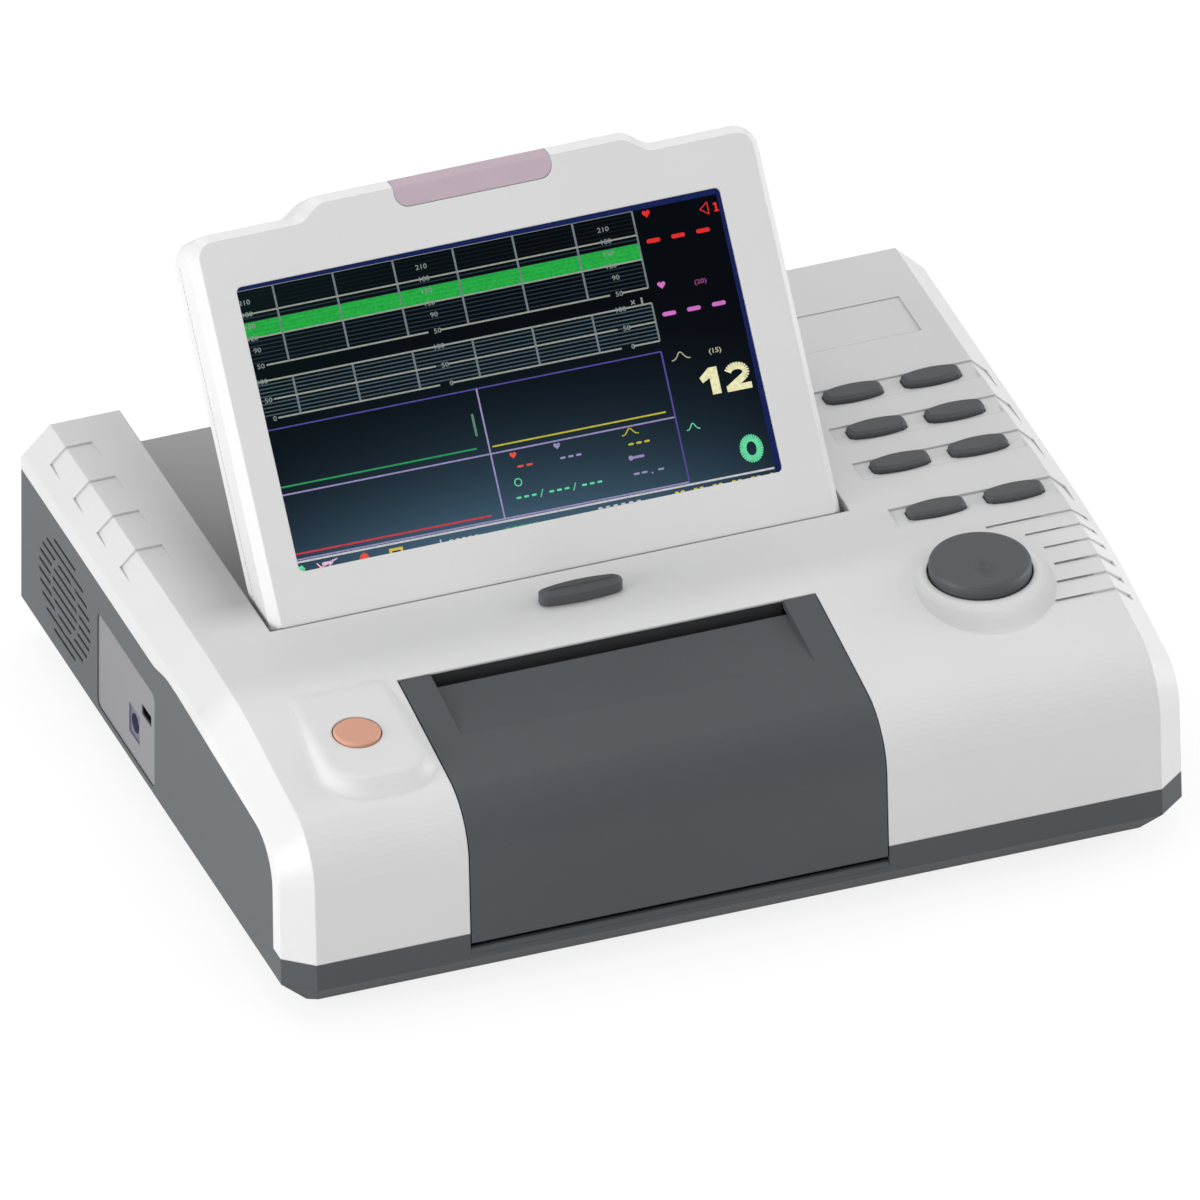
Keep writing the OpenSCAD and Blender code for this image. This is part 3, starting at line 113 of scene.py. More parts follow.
class Shader:
    """A material with a Principled shader, and short ways to add nodes to it."""

    def __init__(self, name):
        self.material = bpy.data.materials.new(name)
        self.material.use_nodes = True
        self.tree = self.material.node_tree
        self.main = self.tree.nodes["Principled BSDF"]
        self.place = self.tree.nodes.new("ShaderNodeTexCoord").outputs["Object"]

    def feed(self, target, value):
        """Gives the target socket a plain value, or links another socket to it."""
        if isinstance(value, bpy.types.NodeSocket):
            self.tree.links.new(value, target)
        else:
            target.default_value = value

    def set(self, **values):
        """Inputs of the Principled shader, by name with _ for each blank."""
        for name, value in values.items():
            self.feed(self.main.inputs[name.replace("_", " ")], value)

    def noise(self, scale, detail=2.0, vector=None):
        node = self.tree.nodes.new("ShaderNodeTexNoise")
        node.inputs["Scale"].default_value = scale
        node.inputs["Detail"].default_value = detail
        self.feed(node.inputs["Vector"], vector or self.place)
        return node.outputs["Fac"]

    def ramp(self, factor, low, high, start=0.0, end=1.0):
        """A colour that goes from low to high as factor goes from start to end."""
        node = self.tree.nodes.new("ShaderNodeValToRGB")
        for stop, position, colour in zip(node.color_ramp.elements, (start, end), (low, high)):
            stop.position = position
            stop.color = colour
        self.feed(node.inputs["Fac"], factor)
        return node.outputs["Color"]

    def spread(self, value, low, high, start=0.0, end=1.0):
        """A number that goes from low to high as value goes from start to end."""
        node = self.tree.nodes.new("ShaderNodeMapRange")
        limits = (("From Min", start), ("From Max", end), ("To Min", low), ("To Max", high))
        for name, limit in limits:
            node.inputs[name].default_value = limit
        self.feed(node.inputs["Value"], value)
        return node.outputs["Result"]

    def smooth(self, value, end):
        """Rises softly from 0 to 1 as value goes from 0 to end."""
        node = self.tree.nodes.new("ShaderNodeMapRange")
        node.interpolation_type = "SMOOTHSTEP"
        node.inputs["From Max"].default_value = end
        self.feed(node.inputs["Value"], value)
        return node.outputs["Result"]

    def maths(self, operation, first, second=0.0):
        node = self.tree.nodes.new("ShaderNodeMath")
        node.operation = operation
        self.feed(node.inputs[0], first)
        self.feed(node.inputs[1], second)
        return node.outputs["Value"]

    def product(self, first, *others):
        for other in others:
            first = self.maths("MULTIPLY", first, other)
        return first

    def within(self, value, low, high, soft):
        """1 where value lies between low and high, fading to 0 over a width of soft."""
        rise = self.spread(value, 0.0, 1.0, low - soft, low)
        fall = self.spread(value, 1.0, 0.0, high, high + soft)
        return self.product(rise, fall)

    def blend(self, factor, first, second, mode="MIX", kind="RGBA"):
        """The first colour or vector, changed into or by the second as far as factor says."""
        node = self.tree.nodes.new("ShaderNodeMix")
        node.data_type = kind
        node.blend_type = mode
        sockets = [k for k in node.inputs if k.type == kind and k.name in ("A", "B")]
        self.feed(node.inputs["Factor"], factor)
        self.feed(sockets[0], first)
        self.feed(sockets[1], second)
        return next(k for k in node.outputs if k.type == kind)

    def times(self, colour, factor):
        """The colour times a number, or times the value of a socket."""
        if not isinstance(factor, bpy.types.NodeSocket):
            factor = (factor, factor, factor, 1.0)
        return self.blend(1.0, colour, factor, mode="MULTIPLY")

    def creased(self, colour, darkest):
        """The colour with painted shade, darker in narrow gaps and along the foot of steps."""
        open_sky = self.tree.nodes.new("ShaderNodeAmbientOcclusion")
        open_sky.samples = SOFT_SAMPLES
        open_sky.inputs["Distance"].default_value = CREASE_REACH
        return self.times(colour, self.spread(open_sky.outputs["AO"], darkest, 1.0, *OPEN_SPAN))

    def split(self, vector):
        """The three parts of a vector."""
        node = self.tree.nodes.new("ShaderNodeSeparateXYZ")
        self.feed(node.inputs["Vector"], vector)
        return tuple(node.outputs)

    def away(self, centre):
        """Distance from the upright axis through centre."""
        x, y = self.split(self.place)[:2]
        dx = self.maths("SUBTRACT", x, centre.x)
        dy = self.maths("SUBTRACT", y, centre.y)
        squares = self.maths("ADD", self.product(dx, dx), self.product(dy, dy))
        return self.maths("SQRT", squares)

    def facing_up(self):
        """The upward share of the surface's normal."""
        shape = self.tree.nodes.new("ShaderNodeNewGeometry")
        return self.split(shape.outputs["True Normal"])[2]

    def rounded(self, radius):
        """The surface's normal, with its sharp edges rounded to this radius."""
        node = self.tree.nodes.new("ShaderNodeBevel")
        node.samples = SOFT_SAMPLES
        self.feed(node.inputs["Radius"], radius)
        return node.outputs["Normal"]

    def relief(self, height, depth, normal=None):
        """The normal, leaning as this height from 0 to 1 makes it over this depth."""
        node = self.tree.nodes.new("ShaderNodeBump")
        node.inputs["Strength"].default_value = 1.0
        node.inputs["Distance"].default_value = depth
        self.feed(node.inputs["Height"], height)
        if normal is not None:
            self.feed(node.inputs["Normal"], normal)
        return node.outputs["Normal"]

    def surface(self, height, depth, edge=0.0, flow=None):
        """Relief of this depth, over edges rounded to the radius edge; flow changes that normal."""
        normal = self.rounded(edge) if edge else None
        if flow:
            normal = flow(self, normal)
        self.set(Normal=self.relief(height, depth, normal))


# Where the shading is softer or deeper than the shape alone, and where shade or light is painted on

# Round the knob and on the button's pad the cover flows: from, to and the width of the fade
KNOB_AT = middle_of("knob")
RING = (24 * MM, 38 * MM, 3 * MM)
RING_FLANK = (22.5 * MM, 37 * MM, 1.5 * MM)
BUTTON_AT = middle_of("power_button")
PAD_X = (-152 * MM, -106 * MM, 2.5 * MM)
PAD_Y = (-122 * MM, -52 * MM, 2 * MM)
BUTTON_EDGE = (12.5 * MM, 15 * MM)
WIDE_SOFT = 3.6 * MM
RING_START = (21 * MM, 24.5 * MM)
RING_FADE = (0.7, 0.98)
FRONT_SLOPE = math.radians(10)

# The finger's dimple in the knob
DIMPLE_AT = KNOB_AT + Vector((0.4, -4.6, 0.0)) * MM
DIMPLE_R = 4.8 * MM
DIMPLE_DEPTH = 0.9 * MM

# Painted shade on the bay's floor, the back half of the cover and the pillar left of the bay
BAY_X = (-142 * MM, 96 * MM, 3 * MM)
BAY_FRONT = (-5 * MM, 0.0)
BAY_FLOOR_TOP = (73 * MM, 80 * MM)
BAY_DEPTH = (40 * MM, 130 * MM)
BAY_SHADES = (0.33, 0.56)
BACK_FROM = (-56 * MM, -42 * MM)
BACK_SHADE = 0.885
PILLAR_LEFT = (-160 * MM, -138 * MM)
PILLAR_RIGHT = (-132 * MM, -128 * MM)
PILLAR_FRONT = (-12 * MM, 3 * MM)
PILLAR_LENGTH = (5 * MM, 115 * MM)
PILLAR_SHADE = 0.6
PILLAR_REAR = 0.3

# Shares of the normal that look up or down, over which a face is painted lighter or loses its gloss
PAINTED_TOP_GAIN = 1.2
LOOKS_UP = (0.85, 0.97)
LOOKS_DOWN = (-0.6, -0.15)


def cover_softness(paint, edge):
    """Radius to which the cover's edges are rounded, wider round the knob and the button's pad."""
    x, y = paint.split(paint.place)[:2]
    ring = paint.within(paint.away(KNOB_AT), *RING)
    beside_button = paint.spread(paint.away(BUTTON_AT), 0.0, 1.0, *BUTTON_EDGE)
    pad = paint.product(paint.within(x, *PAD_X), paint.within(y, *PAD_Y), beside_button)
    wide = paint.product(paint.maths("MAXIMUM", ring, pad), WIDE_SOFT)
    return paint.maths("ADD", wide, edge)


def ring_flow(paint, normal):
    """Round the knob the raised ring's flank is shaded almost like the deck it flows into."""
    from_knob = paint.away(KNOB_AT)
    flank = paint.product(paint.within(from_knob, *RING_FLANK),
                          paint.spread(from_knob, *RING_FADE, *RING_START))
    deck = (0.0, -math.sin(FRONT_SLOPE), math.cos(FRONT_SLOPE))
    unit = paint.tree.nodes.new("ShaderNodeVectorMath")
    unit.operation = "NORMALIZE"
    paint.feed(unit.inputs[0], paint.blend(flank, normal, deck, kind="VECTOR"))
    return unit.outputs["Vector"]


def dimple_flow(paint, normal):
    """The finger's dimple in the knob's top, deeper in its shading than in its shape."""
    return paint.relief(paint.smooth(paint.away(DIMPLE_AT), DIMPLE_R), DIMPLE_DEPTH, normal)


def bay_shadow(paint, tone):
    """Painted shade: little light comes into the bay behind the screen, to the pillar beside it and the cover's
    back.
    """
    x, y, z = paint.split(paint.place)
    floor = paint.product(paint.spread(z, 1.0, 0.0, *BAY_FLOOR_TOP),
                          paint.spread(y, 0.0, 1.0, *BAY_FRONT), paint.within(x, *BAY_X))
    dark = paint.spread(y, *BAY_SHADES, *BAY_DEPTH)
    tone = paint.blend(floor, tone, paint.times(tone, dark))
    tone = paint.times(tone, paint.spread(y, 1.0, BACK_SHADE, *BACK_FROM))
    across = paint.product(paint.spread(x, 0.0, 1.0, *PILLAR_LEFT),
                           paint.spread(x, 1.0, 0.0, *PILLAR_RIGHT))
    along = paint.product(paint.spread(y, 1.0, PILLAR_REAR, *PILLAR_LENGTH),
                          paint.spread(y, 0.0, 1.0, *PILLAR_FRONT))
    pillar = paint.product(across, along)
    return paint.times(tone, paint.spread(pillar, 1.0, PILLAR_SHADE))


def lit_top(paint, tone):
    """Painted light: the top edge of the screen's housing, which looks up, is painted the lightest."""
    return paint.times(tone, paint.spread(paint.facing_up(), 1.0, PAINTED_TOP_GAIN, *LOOKS_UP))


# Materials

def moulded(name, colour, rough=0.42, grain=0.02, edge=0.5, mottle=0.02, specular=0.4,
            crease=0.0, soft_places=None, flow=None, shadow=None, dull_below=1.0):
    """Injection-moulded plastic: a fine spark-eroded grain, faint flow marks and soft edges.

    grain and edge are in millimetres. crease is how much painted shade darkens narrow gaps, and
    dull_below how much gloss is left on faces that look down. Three functions may take part:
    soft_places widens the soft edges, flow turns the normal and shadow paints light or shade into the tone.
    """
    paint = Shader(name)
    marks = paint.noise(14.0, detail=3.0)
    tone = paint.ramp(marks, shade(colour, 1 - mottle), shade(colour, 1 + mottle), *NOISE_SPAN)
    if crease:
        tone = paint.creased(tone, 1 - crease)
    if shadow:
        tone = shadow(paint, tone)
    gloss = specular
    if dull_below < 1:
        gloss = paint.spread(paint.facing_up(), specular * dull_below, specular, *LOOKS_DOWN)
    sparks = paint.noise(2600.0, detail=1.0)
    paint.set(Base_Color=tone, Specular_IOR_Level=gloss,
              Roughness=paint.spread(sparks, rough - 0.05, rough + 0.05, *NOISE_SPAN))
    radius = soft_places(paint, edge * MM) if soft_places else edge * MM
    paint.surface(sparks, grain * MM, edge=radius, flow=flow)
    return paint.material


def rubber(name, colour):
    paint = Shader(name)
    dust = paint.noise(180.0, detail=4.0)
    paint.set(Base_Color=paint.ramp(dust, colour, shade(colour, 1.9), 0.35, 0.75),
              Roughness=paint.spread(dust, 0.7, 0.9))
    paint.surface(paint.noise(1500.0), 0.03 * MM, edge=0.3 * MM)
    return paint.material


def metal(name, colour, rough=0.32):
    """Turned or rolled metal: fine lines along one direction over a slow change of tone."""
    paint = Shader(name)
    along = paint.tree.nodes.new("ShaderNodeMapping")
    along.inputs["Scale"].default_value = (1, 40, 40)
    paint.feed(along.inputs["Vector"], paint.place)
    lines = paint.noise(60.0, detail=3.0, vector=along.outputs["Vector"])
    paint.set(Base_Color=paint.ramp(lines, shade(colour, 0.82), shade(colour, 1.08), *NOISE_SPAN),
              Roughness=paint.spread(lines, rough - 0.08, rough + 0.1), Metallic=1.0)
    paint.surface(lines, 0.01 * MM, edge=0.15 * MM)
    return paint.material


def circuit_board(name):
    """Solder mask over fine copper tracks."""
    paint = Shader(name)
    cells = paint.tree.nodes.new("ShaderNodeTexVoronoi")
    cells.distance = "MANHATTAN"
    cells.feature = "F1"
    cells.inputs["Scale"].default_value = 260.0
    paint.feed(cells.inputs["Vector"], paint.place)
    tracks = cells.outputs["Distance"]
    paint.set(Base_Color=paint.ramp(tracks, MASK_GREEN, TRACK_GREEN, 0.42, 0.5),
              Roughness=0.35, Coat_Weight=0.4, Coat_Roughness=0.2)
    paint.surface(tracks, 0.03 * MM)
    return paint.material


def speaker_cone(name):
    paint = Shader(name)
    paper = paint.noise(700.0, detail=4.0)
    paint.set(Base_Color=paint.ramp(paper, CONE_DARK, CONE_LIGHT, *NOISE_SPAN), Roughness=0.85)
    paint.surface(paper, 0.08 * MM)
    return paint.material


def lens(name, colour):
    """Milky lens of the alarm lamp."""
    paint = Shader(name)
    cloud = paint.noise(45.0)
    paint.set(Base_Color=paint.ramp(cloud, shade(colour, 0.97), shade(colour, 1.03), *NOISE_SPAN),
              Roughness=paint.spread(paint.noise(1800.0), 0.2, 0.3),
              Subsurface_Weight=0.25, Subsurface_Scale=0.004, Specular_IOR_Level=0.5)
    paint.surface(paint.noise(900.0), 0.006 * MM, edge=0.4 * MM)
    return paint.material


# crease paints shade into narrow gaps and along the foot of steps
WHITE_PLASTIC = moulded("white_plastic", WHITE, rough=0.36, edge=0.9, crease=0.2)
# the screen's housing: the same white with painted light on its top edge, which looks up
SCREEN_PLASTIC = moulded("screen_plastic", WHITE, rough=0.36, edge=0.9, crease=0.2,
                         shadow=lit_top)
# the cover: painted shade in the bay, on the pillar beside it and on its back half
COVER_PLASTIC = moulded("cover_plastic", WHITE, rough=0.36, edge=0.9, crease=0.12,
                        soft_places=cover_softness, flow=ring_flow, shadow=bay_shadow)
GREY_PLASTIC = moulded("grey_plastic", GREY, rough=0.46, grain=0.03, edge=0.7, mottle=0.03,
                       specular=0.3, crease=0.15, dull_below=0.12)
CAP_PLASTIC = moulded("cap_plastic", CAP_GREY, rough=0.5)
KNOB_PLASTIC = moulded("knob_plastic", CAP_GREY, rough=0.5, edge=0.6, flow=dimple_flow)
JACK_PLASTIC = moulded("jack_plastic", JACK_GREY, rough=0.4, edge=0.2)
DARK_PLASTIC = moulded("dark_plastic", DARK_GREY, rough=0.55, mottle=0.05, edge=0.3)
BLACK_PLASTIC = moulded("black_plastic", BLACK, rough=0.4, mottle=0.05, edge=0.25)
PLATE_PLASTIC = moulded("plate_plastic", PLATE_GREY, rough=0.45, edge=0.4)
ORANGE_PLASTIC = moulded("button_orange", ORANGE, mottle=0.03)
GEAR_PLASTIC = moulded("gear_plastic", IVORY, rough=0.3, edge=0.15)
# painted shadow of the dotted joint down the screen's left side
SEAM_SHADOW = moulded("seam_shadow", SEAM_SHADOW_GREY, rough=0.6, edge=0.0)
BATTERY_WRAP = moulded("battery_wrap", BATTERY_BLUE, rough=0.25, grain=0.05, edge=0.8)
CERAMIC = moulded("ceramic", BUFF, rough=0.5, mottle=0.04, edge=0.1)
RUBBER = rubber("rubber", RUBBER_BLACK)
STEEL = metal("steel", STEEL_GREY)
BRASS = metal("brass", BRASS_YELLOW, rough=0.28)
BOARD = circuit_board("circuit_board")
CONE = speaker_cone("speaker_cone")
LAMP_LENS = lens("lamp_lens", LAMP_PINK)

BY_SLOT = {
    "white_plastic": WHITE_PLASTIC, "grey_plastic": GREY_PLASTIC, "dark_plastic": DARK_PLASTIC,
    "plate_plastic": PLATE_PLASTIC, "rubber": RUBBER, "steel": STEEL, "brass": BRASS,
    "gear_plastic": GEAR_PLASTIC, "circuit_board": BOARD, "black_plastic": BLACK_PLASTIC,
    "ceramic": CERAMIC, "battery_wrap": BATTERY_WRAP, "button_orange": ORANGE_PLASTIC,
    "screen_film": BLACK_PLASTIC, "lamp_lens": LAMP_LENS,
}
BY_NODE = {
    "loudspeaker": CONE, "top_cover": COVER_PLASTIC, "knob": KNOB_PLASTIC,
    "latch_slider": CAP_PLASTIC, "dc_jack": JACK_PLASTIC, "usb_socket": BLACK_PLASTIC,
}


def finish_parts():
    """Every CAD part gets the material of its node, or else of its slot."""
    slots = {part["node"]: part["material_slot"] for part in frame["record"]["subparts"]}
    for name, node in NODES.items():
        finish = BY_NODE.get(name) or BY_SLOT[slots[name]]
        if name.startswith("key_"):
            finish = CAP_PLASTIC
        for i in range(len(node.data.materials)):
            node.data.materials[i] = finish


finish_parts()


# Pieces of the screen and the tray that the solids don't have

def screen_axes():
    """The screen's own axes in millimetres: across, up the glass and out of it.

    They start at the middle of the foot of its front face, and lie flat where its joint starts.
    """
    joint = JOINTS["screen_tilt"]
    turn = Matrix.Rotation(-math.radians(joint["range_deg"][0]), 4, "X")
    shell = NODES["display_frame"]
    points = [turn.inverted() @ shell.matrix_world @ v.co for v in shell.data.vertices]
    foot = (joint["pos_m"][0], min(p.y for p in points), max(p.z for p in points))
    return turn @ Matrix.Translation(foot) @ Matrix.Scale(MM, 4)


ON_SCREEN = screen_axes()
OFF_SCREEN = ON_SCREEN.inverted()
FACE_REACH = 0.02
CREASE_ANGLE = math.radians(28)
WELD = 0.002 * MM

# The dotted joint between the screen's two shells, in millimetres along the screen's axes
SEAM_X = -107.7
SEAM_FOOT = 4.0
SEAM_OUT = (-15.9, -15.5)
SEAM_STEP = 2.0
SEAM_DASH = 1.25
SEAM_DASHES = 65

# The tray's lip below the door, in millimetres
SILL_PAST_DOOR = 0.4
SILL_BELOW_DOOR = 1.1
SILL_SET_BACK = 0.15
SILL_HEIGHT = 2.4
SILL_DEPTH = 2.25


def on_screen(x, y, out=0.0):
    """The place in the scene of a point in millimetres along the screen's axes."""
    return ON_SCREEN @ Vector((x, y, out))


def add_object(name, data):
    thing = bpy.data.objects.new(name, data)
    bpy.context.scene.collection.objects.link(thing)
    return thing


def add_mesh(name, mesh, *materials):
    """An object from a bmesh, which is freed."""
    data = bpy.data.meshes.new(name)
    mesh.to_mesh(data)
    mesh.free()
    for material in materials:
        data.materials.append(material)
    return add_object(name, data)


def in_face(element):
    """Whether this face or edge lies in the flat front face of the screen's housing."""
    return all(abs((OFF_SCREEN @ v.co).z) < FACE_REACH for v in element.verts)


def closed_loops(edges):
    """The closed rings of corners that these edges make."""
    left = dict.fromkeys(edges)
    loops = []
    while left:
        edge = next(iter(left))
        del left[edge]
        first, here = edge.verts
        loop = [first]
        while here is not first:
            loop.append(here)
            edge = next(e for e in here.link_edges if e in left)
            del left[edge]
            here = edge.other_vert(here)
        loops.append(loop)
    return loops


def renew_face(mesh):
    """Draws the flat face round the window anew, as one clean sheet."""
    bmesh.ops.delete(mesh, geom=[f for f in mesh.faces if in_face(f)],
                     context="FACES_KEEP_BOUNDARY")
    loops = closed_loops([e for e in mesh.edges if len(e.link_faces) == 1 and in_face(e)])
    corners = [v for loop in loops for v in loop]
    outlines = [[(*(OFF_SCREEN @ v.co).xy, 0) for v in loop] for loop in loops]
    out = ON_SCREEN.to_3x3() @ Vector((0, 0, 1))
    for trio in tessellate_polygon(outlines):
        face = mesh.faces.new([corners[i] for i in trio])
        face.normal_update()
        if face.normal.dot(out) < 0:
            face.normal_flip()


def build_screen_front():
    """The front frame of the screen, with a clean flat face and soft edges."""
    source = NODES["display_frame"]
    mesh = bmesh.new()
    mesh.from_mesh(source.data)
    mesh.transform(source.matrix_world)
    bmesh.ops.remove_doubles(mesh, verts=mesh.verts, dist=WELD)
    renew_face(mesh)
    for face in mesh.faces:
        face.smooth = True
        face.material_index = 0
    for edge in mesh.edges:
        rim = sum(in_face(face) for face in edge.link_faces) == 1
        edge.smooth = not rim and edge.calc_face_angle(0.0) < CREASE_ANGLE
    piece = add_mesh("screen_front", mesh, SCREEN_PLASTIC)
    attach(piece, "screen")
    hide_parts("display_frame")


def build_sill():
    """The soft lip of the tray that stands just below the door's lower edge."""
    door_low, door_high = box_of("printer_door")
    tray_low = box_of("base_tray")[0]
    front = tray_low.y + SILL_SET_BACK
    back = front + SILL_DEPTH
    top = door_low.z - SILL_BELOW_DOOR
    foot = top - SILL_HEIGHT
    profile = [(back, foot), (front, foot), (front + 0.07, top - 0.7), (front + 0.3, top - 0.2),
               (front + 0.8, top), (back, top)]
    mesh = bmesh.new()
    left, right = ([mesh.verts.new(Vector((x, y, z)) * MM) for y, z in profile]
                   for x in (door_low.x - SILL_PAST_DOOR, door_high.x + SILL_PAST_DOOR))
    mesh.faces.new(left)
    mesh.faces.new(right[::-1])
    for i in range(len(profile)):
        j = (i + 1) % len(profile)
        mesh.faces.new([left[i], right[i], right[j], left[j]])
    bmesh.ops.recalc_face_normals(mesh, faces=mesh.faces)
    piece = add_mesh("door_sill", mesh, GREY_PLASTIC)
    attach(piece, "body")


def build_seam():
    """Painted shadow: grey dashes for the dotted shadow of the joint between the screen's two shells, down its
    left side.
    """
    back, front = SEAM_OUT
    mesh = bmesh.new()
    for i in range(SEAM_DASHES):
        low = SEAM_FOOT + i * SEAM_STEP
        high = low + SEAM_DASH
        corners = ((low, back), (high, back), (high, front), (low, front))
        mesh.faces.new([mesh.verts.new(on_screen(SEAM_X, y, out)) for y, out in corners])
    piece = add_mesh("screen_seam", mesh, SEAM_SHADOW)
    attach(piece, "screen")


build_screen_front()
build_sill()
build_seam()


# The picture on the screen: flat marks a hair in front of the glass, in millimetres on its axes

LEFT, RIGHT, TOP, LOW = -94.2, 89.4, 122.3, 18.2
PAST_RIGHT = RIGHT + 0.4
PAST_TOP = TOP + 0.2
PICTURE_OUT = -1.14
LAYER_STEP = 0.02
# slant of the picture's right side: to the left at its foot, down, and more down at its foot
SLANT_LEFT = 0.9
SLANT_DOWN = 0.75
SLANT_DOWN_MORE = 1.05
# a figure's height, as a share of the letter size
DIGIT_HEIGHT = 0.72

INK = {
    "grid": srgb(150, 156, 148), "fine": srgb(44, 58, 68), "faint": srgb(20, 29, 33),
    "load_line": srgb(72, 90, 98), "upright": srgb(112, 124, 128), "band": srgb(38, 164, 66),
    "band_line": srgb(46, 174, 76), "figure": srgb(132, 142, 140), "violet": srgb(84, 76, 150),
    "lilac": srgb(150, 142, 186), "foot": srgb(196, 196, 200), "green": srgb(46, 150, 92),
    "mint": srgb(104, 216, 160), "yellow": srgb(190, 184, 60), "cream": srgb(233, 230, 184),
    "red": srgb(222, 48, 48), "rose": srgb(196, 62, 74), "magenta": srgb(206, 112, 194),
    "dim_magenta": srgb(140, 66, 120), "frame": srgb(26, 36, 86), "tick": srgb(92, 134, 116),
    "icon_pink": srgb(226, 186, 214), "icon_red": srgb(222, 84, 66),
    "icon_gold": srgb(206, 190, 74), "dim_cream": srgb(176, 176, 148),
}
SKY_BLACK = srgb(9, 12, 17)
POOL_BLUE = srgb(70, 98, 118)
CORNER_GREEN = srgb(13, 28, 28)
CLOUD_BLACK = srgb(10, 12, 18)


def arc(x, y, across, up, start, end, step):
    """Points along an oval round x and y, from start to end in degrees."""
    angles = [math.radians(degrees) for degrees in range(start, end, step)]
    return [(x + across * math.cos(a), y + up * math.sin(a)) for a in angles]


class Picture:
    """Flat marks on the glass, gathered into one mesh with a material for each colour."""

    def __init__(self):
        self.mesh = bmesh.new()
        self.colours = []

    def warp(self, x, y):
        """The picture sits a little aslant behind the glass, more so towards its lower edge."""
        run = (x - LEFT) / (RIGHT - LEFT)
        down = (TOP - y) / (TOP - LOW)
        return x - SLANT_LEFT * down * run, y - run * (SLANT_DOWN + SLANT_DOWN_MORE * down)

    def slot(self, colour):
        """The number of the colour's material."""
        if colour not in self.colours:
            self.colours.append(colour)
        return self.colours.index(colour)

    def outline(self, points, colour, layer=1):
        out = PICTURE_OUT + LAYER_STEP * layer
        corners = [self.mesh.verts.new(on_screen(*self.warp(x, y), out)) for x, y in points]
        self.mesh.faces.new(corners).material_index = self.slot(colour)

    def bar(self, x0, y0, x1, y1, colour, layer=1):
        self.outline([(x0, y0), (x1, y0), (x1, y1), (x0, y1)], colour, layer)

    def level(self, x0, x1, y, width, colour, layer=1):
        self.bar(x0, y - width / 2, x1, y + width / 2, colour, layer)

    def upright(self, x, y0, y1, width, colour, layer=1):
        self.bar(x - width / 2, y0, x + width / 2, y1, colour, layer)

    def dash(self, x, y, length, width, colour, layer=2):
        """A bar with round ends."""
        r = width / 2
        right = arc(x + length - r, y, r, r, -90, 91, 30)
        left = arc(x + r, y, r, r, 90, 271, 30)
        self.outline(right + left, colour, layer)

    def dashes(self, x, y, count, colour, length=2.1, step=3.0, width=0.75):
        for i in range(count):
            self.dash(x + i * step, y, length, width, colour)

    def line(self, points, width, colour, layer=2):
        """A bent line of even width."""
        for (xa, ya), (xb, yb) in zip(points, points[1:]):
            run = math.hypot(xb - xa, yb - ya) or 1
            ox, oy = -(yb - ya) / run * width / 2, (xb - xa) / run * width / 2
            self.outline([(xa - ox, ya - oy), (xb - ox, yb - oy), (xb + ox, yb + oy),
                          (xa + ox, ya + oy)], colour, layer)

    def number(self, text, x, y, height, colour, bold=0.0, wide=1.0, layer=3):
        """Plain figures, with their left end at x and their foot at y."""
        curve = bpy.data.curves.new("figures", "FONT")
        curve.body = text
        curve.size = height / DIGIT_HEIGHT
        curve.offset = bold
        curve.resolution_u = 3
        carrier = add_object("figures", curve)
        view = bpy.context.evaluated_depsgraph_get()
        flat = bpy.data.meshes.new_from_object(carrier.evaluated_get(view))
        for poly in flat.polygons:
            corners = [flat.vertices[i].co for i in poly.vertices]
            self.outline([(x + c.x * wide, y + c.y) for c in corners], colour, layer)
        bpy.data.objects.remove(carrier)
        bpy.data.curves.remove(curve)
        bpy.data.meshes.remove(flat)

    def heart(self, x, y, size, colour):
        """A small filled heart, drawn with its usual formula."""
        points = []
        for i in range(24):
            a = 2 * math.pi * i / 24
            rise = 13 * math.cos(a) - 5 * math.cos(2 * a) - 2 * math.cos(3 * a) - math.cos(4 * a)
            points.append((x + size * math.sin(a) ** 3, y + size * rise / 16))
        self.outline(points, colour, 3)

    def hump(self, x, y, length, height, colour):
        """One rise and fall of a curve over its base."""
        curve = [(x + length * i / 14, y + height * math.exp(-((i - 7) / 3) ** 2))
                 for i in range(15)]
        self.line(curve, 0.4, colour, 3)


# The two strips: beats above, pressure below, each from its lowest to its highest line
BEATS_LOW, BEATS_TOP = 92.9, 120.5
BEATS_MIN, BEATS_MAX = 50, 240
LOAD_LOW, LOAD_TOP = 73.8, 87.4
LOAD_MAX = 100
BAND = (120, 160)
STRIP_END = 55.6
FIRST_UPRIGHT, UPRIGHT_STEP, UPRIGHTS = -80.0, 22.6, 6
UPRIGHT_W = 0.75
SCALE_AT = (-90.9, -24.2, 44.4)
SCALE_HEIGHT = 1.75

# The boxes below the strips
BOX_RIGHT = STRIP_END - 0.4
BOX_TOP, BOX_MIDDLE, BOX_LOW = 70.0, 46.5, 23.1
BOX_SPLIT = -14.6
STATUS_RULE = 22.2
FRAME_W = 1.9
FRAME_OUT = 1.5

# The right column
COLUMN = 58.4
DASH_AT = (58.6, 67.9, 77.3)


def beats_y(value):
    return BEATS_LOW + (value - BEATS_MIN) * (BEATS_TOP - BEATS_LOW) / (BEATS_MAX - BEATS_MIN)


def load_y(value):
    return LOAD_LOW + value * (LOAD_TOP - LOAD_LOW) / LOAD_MAX


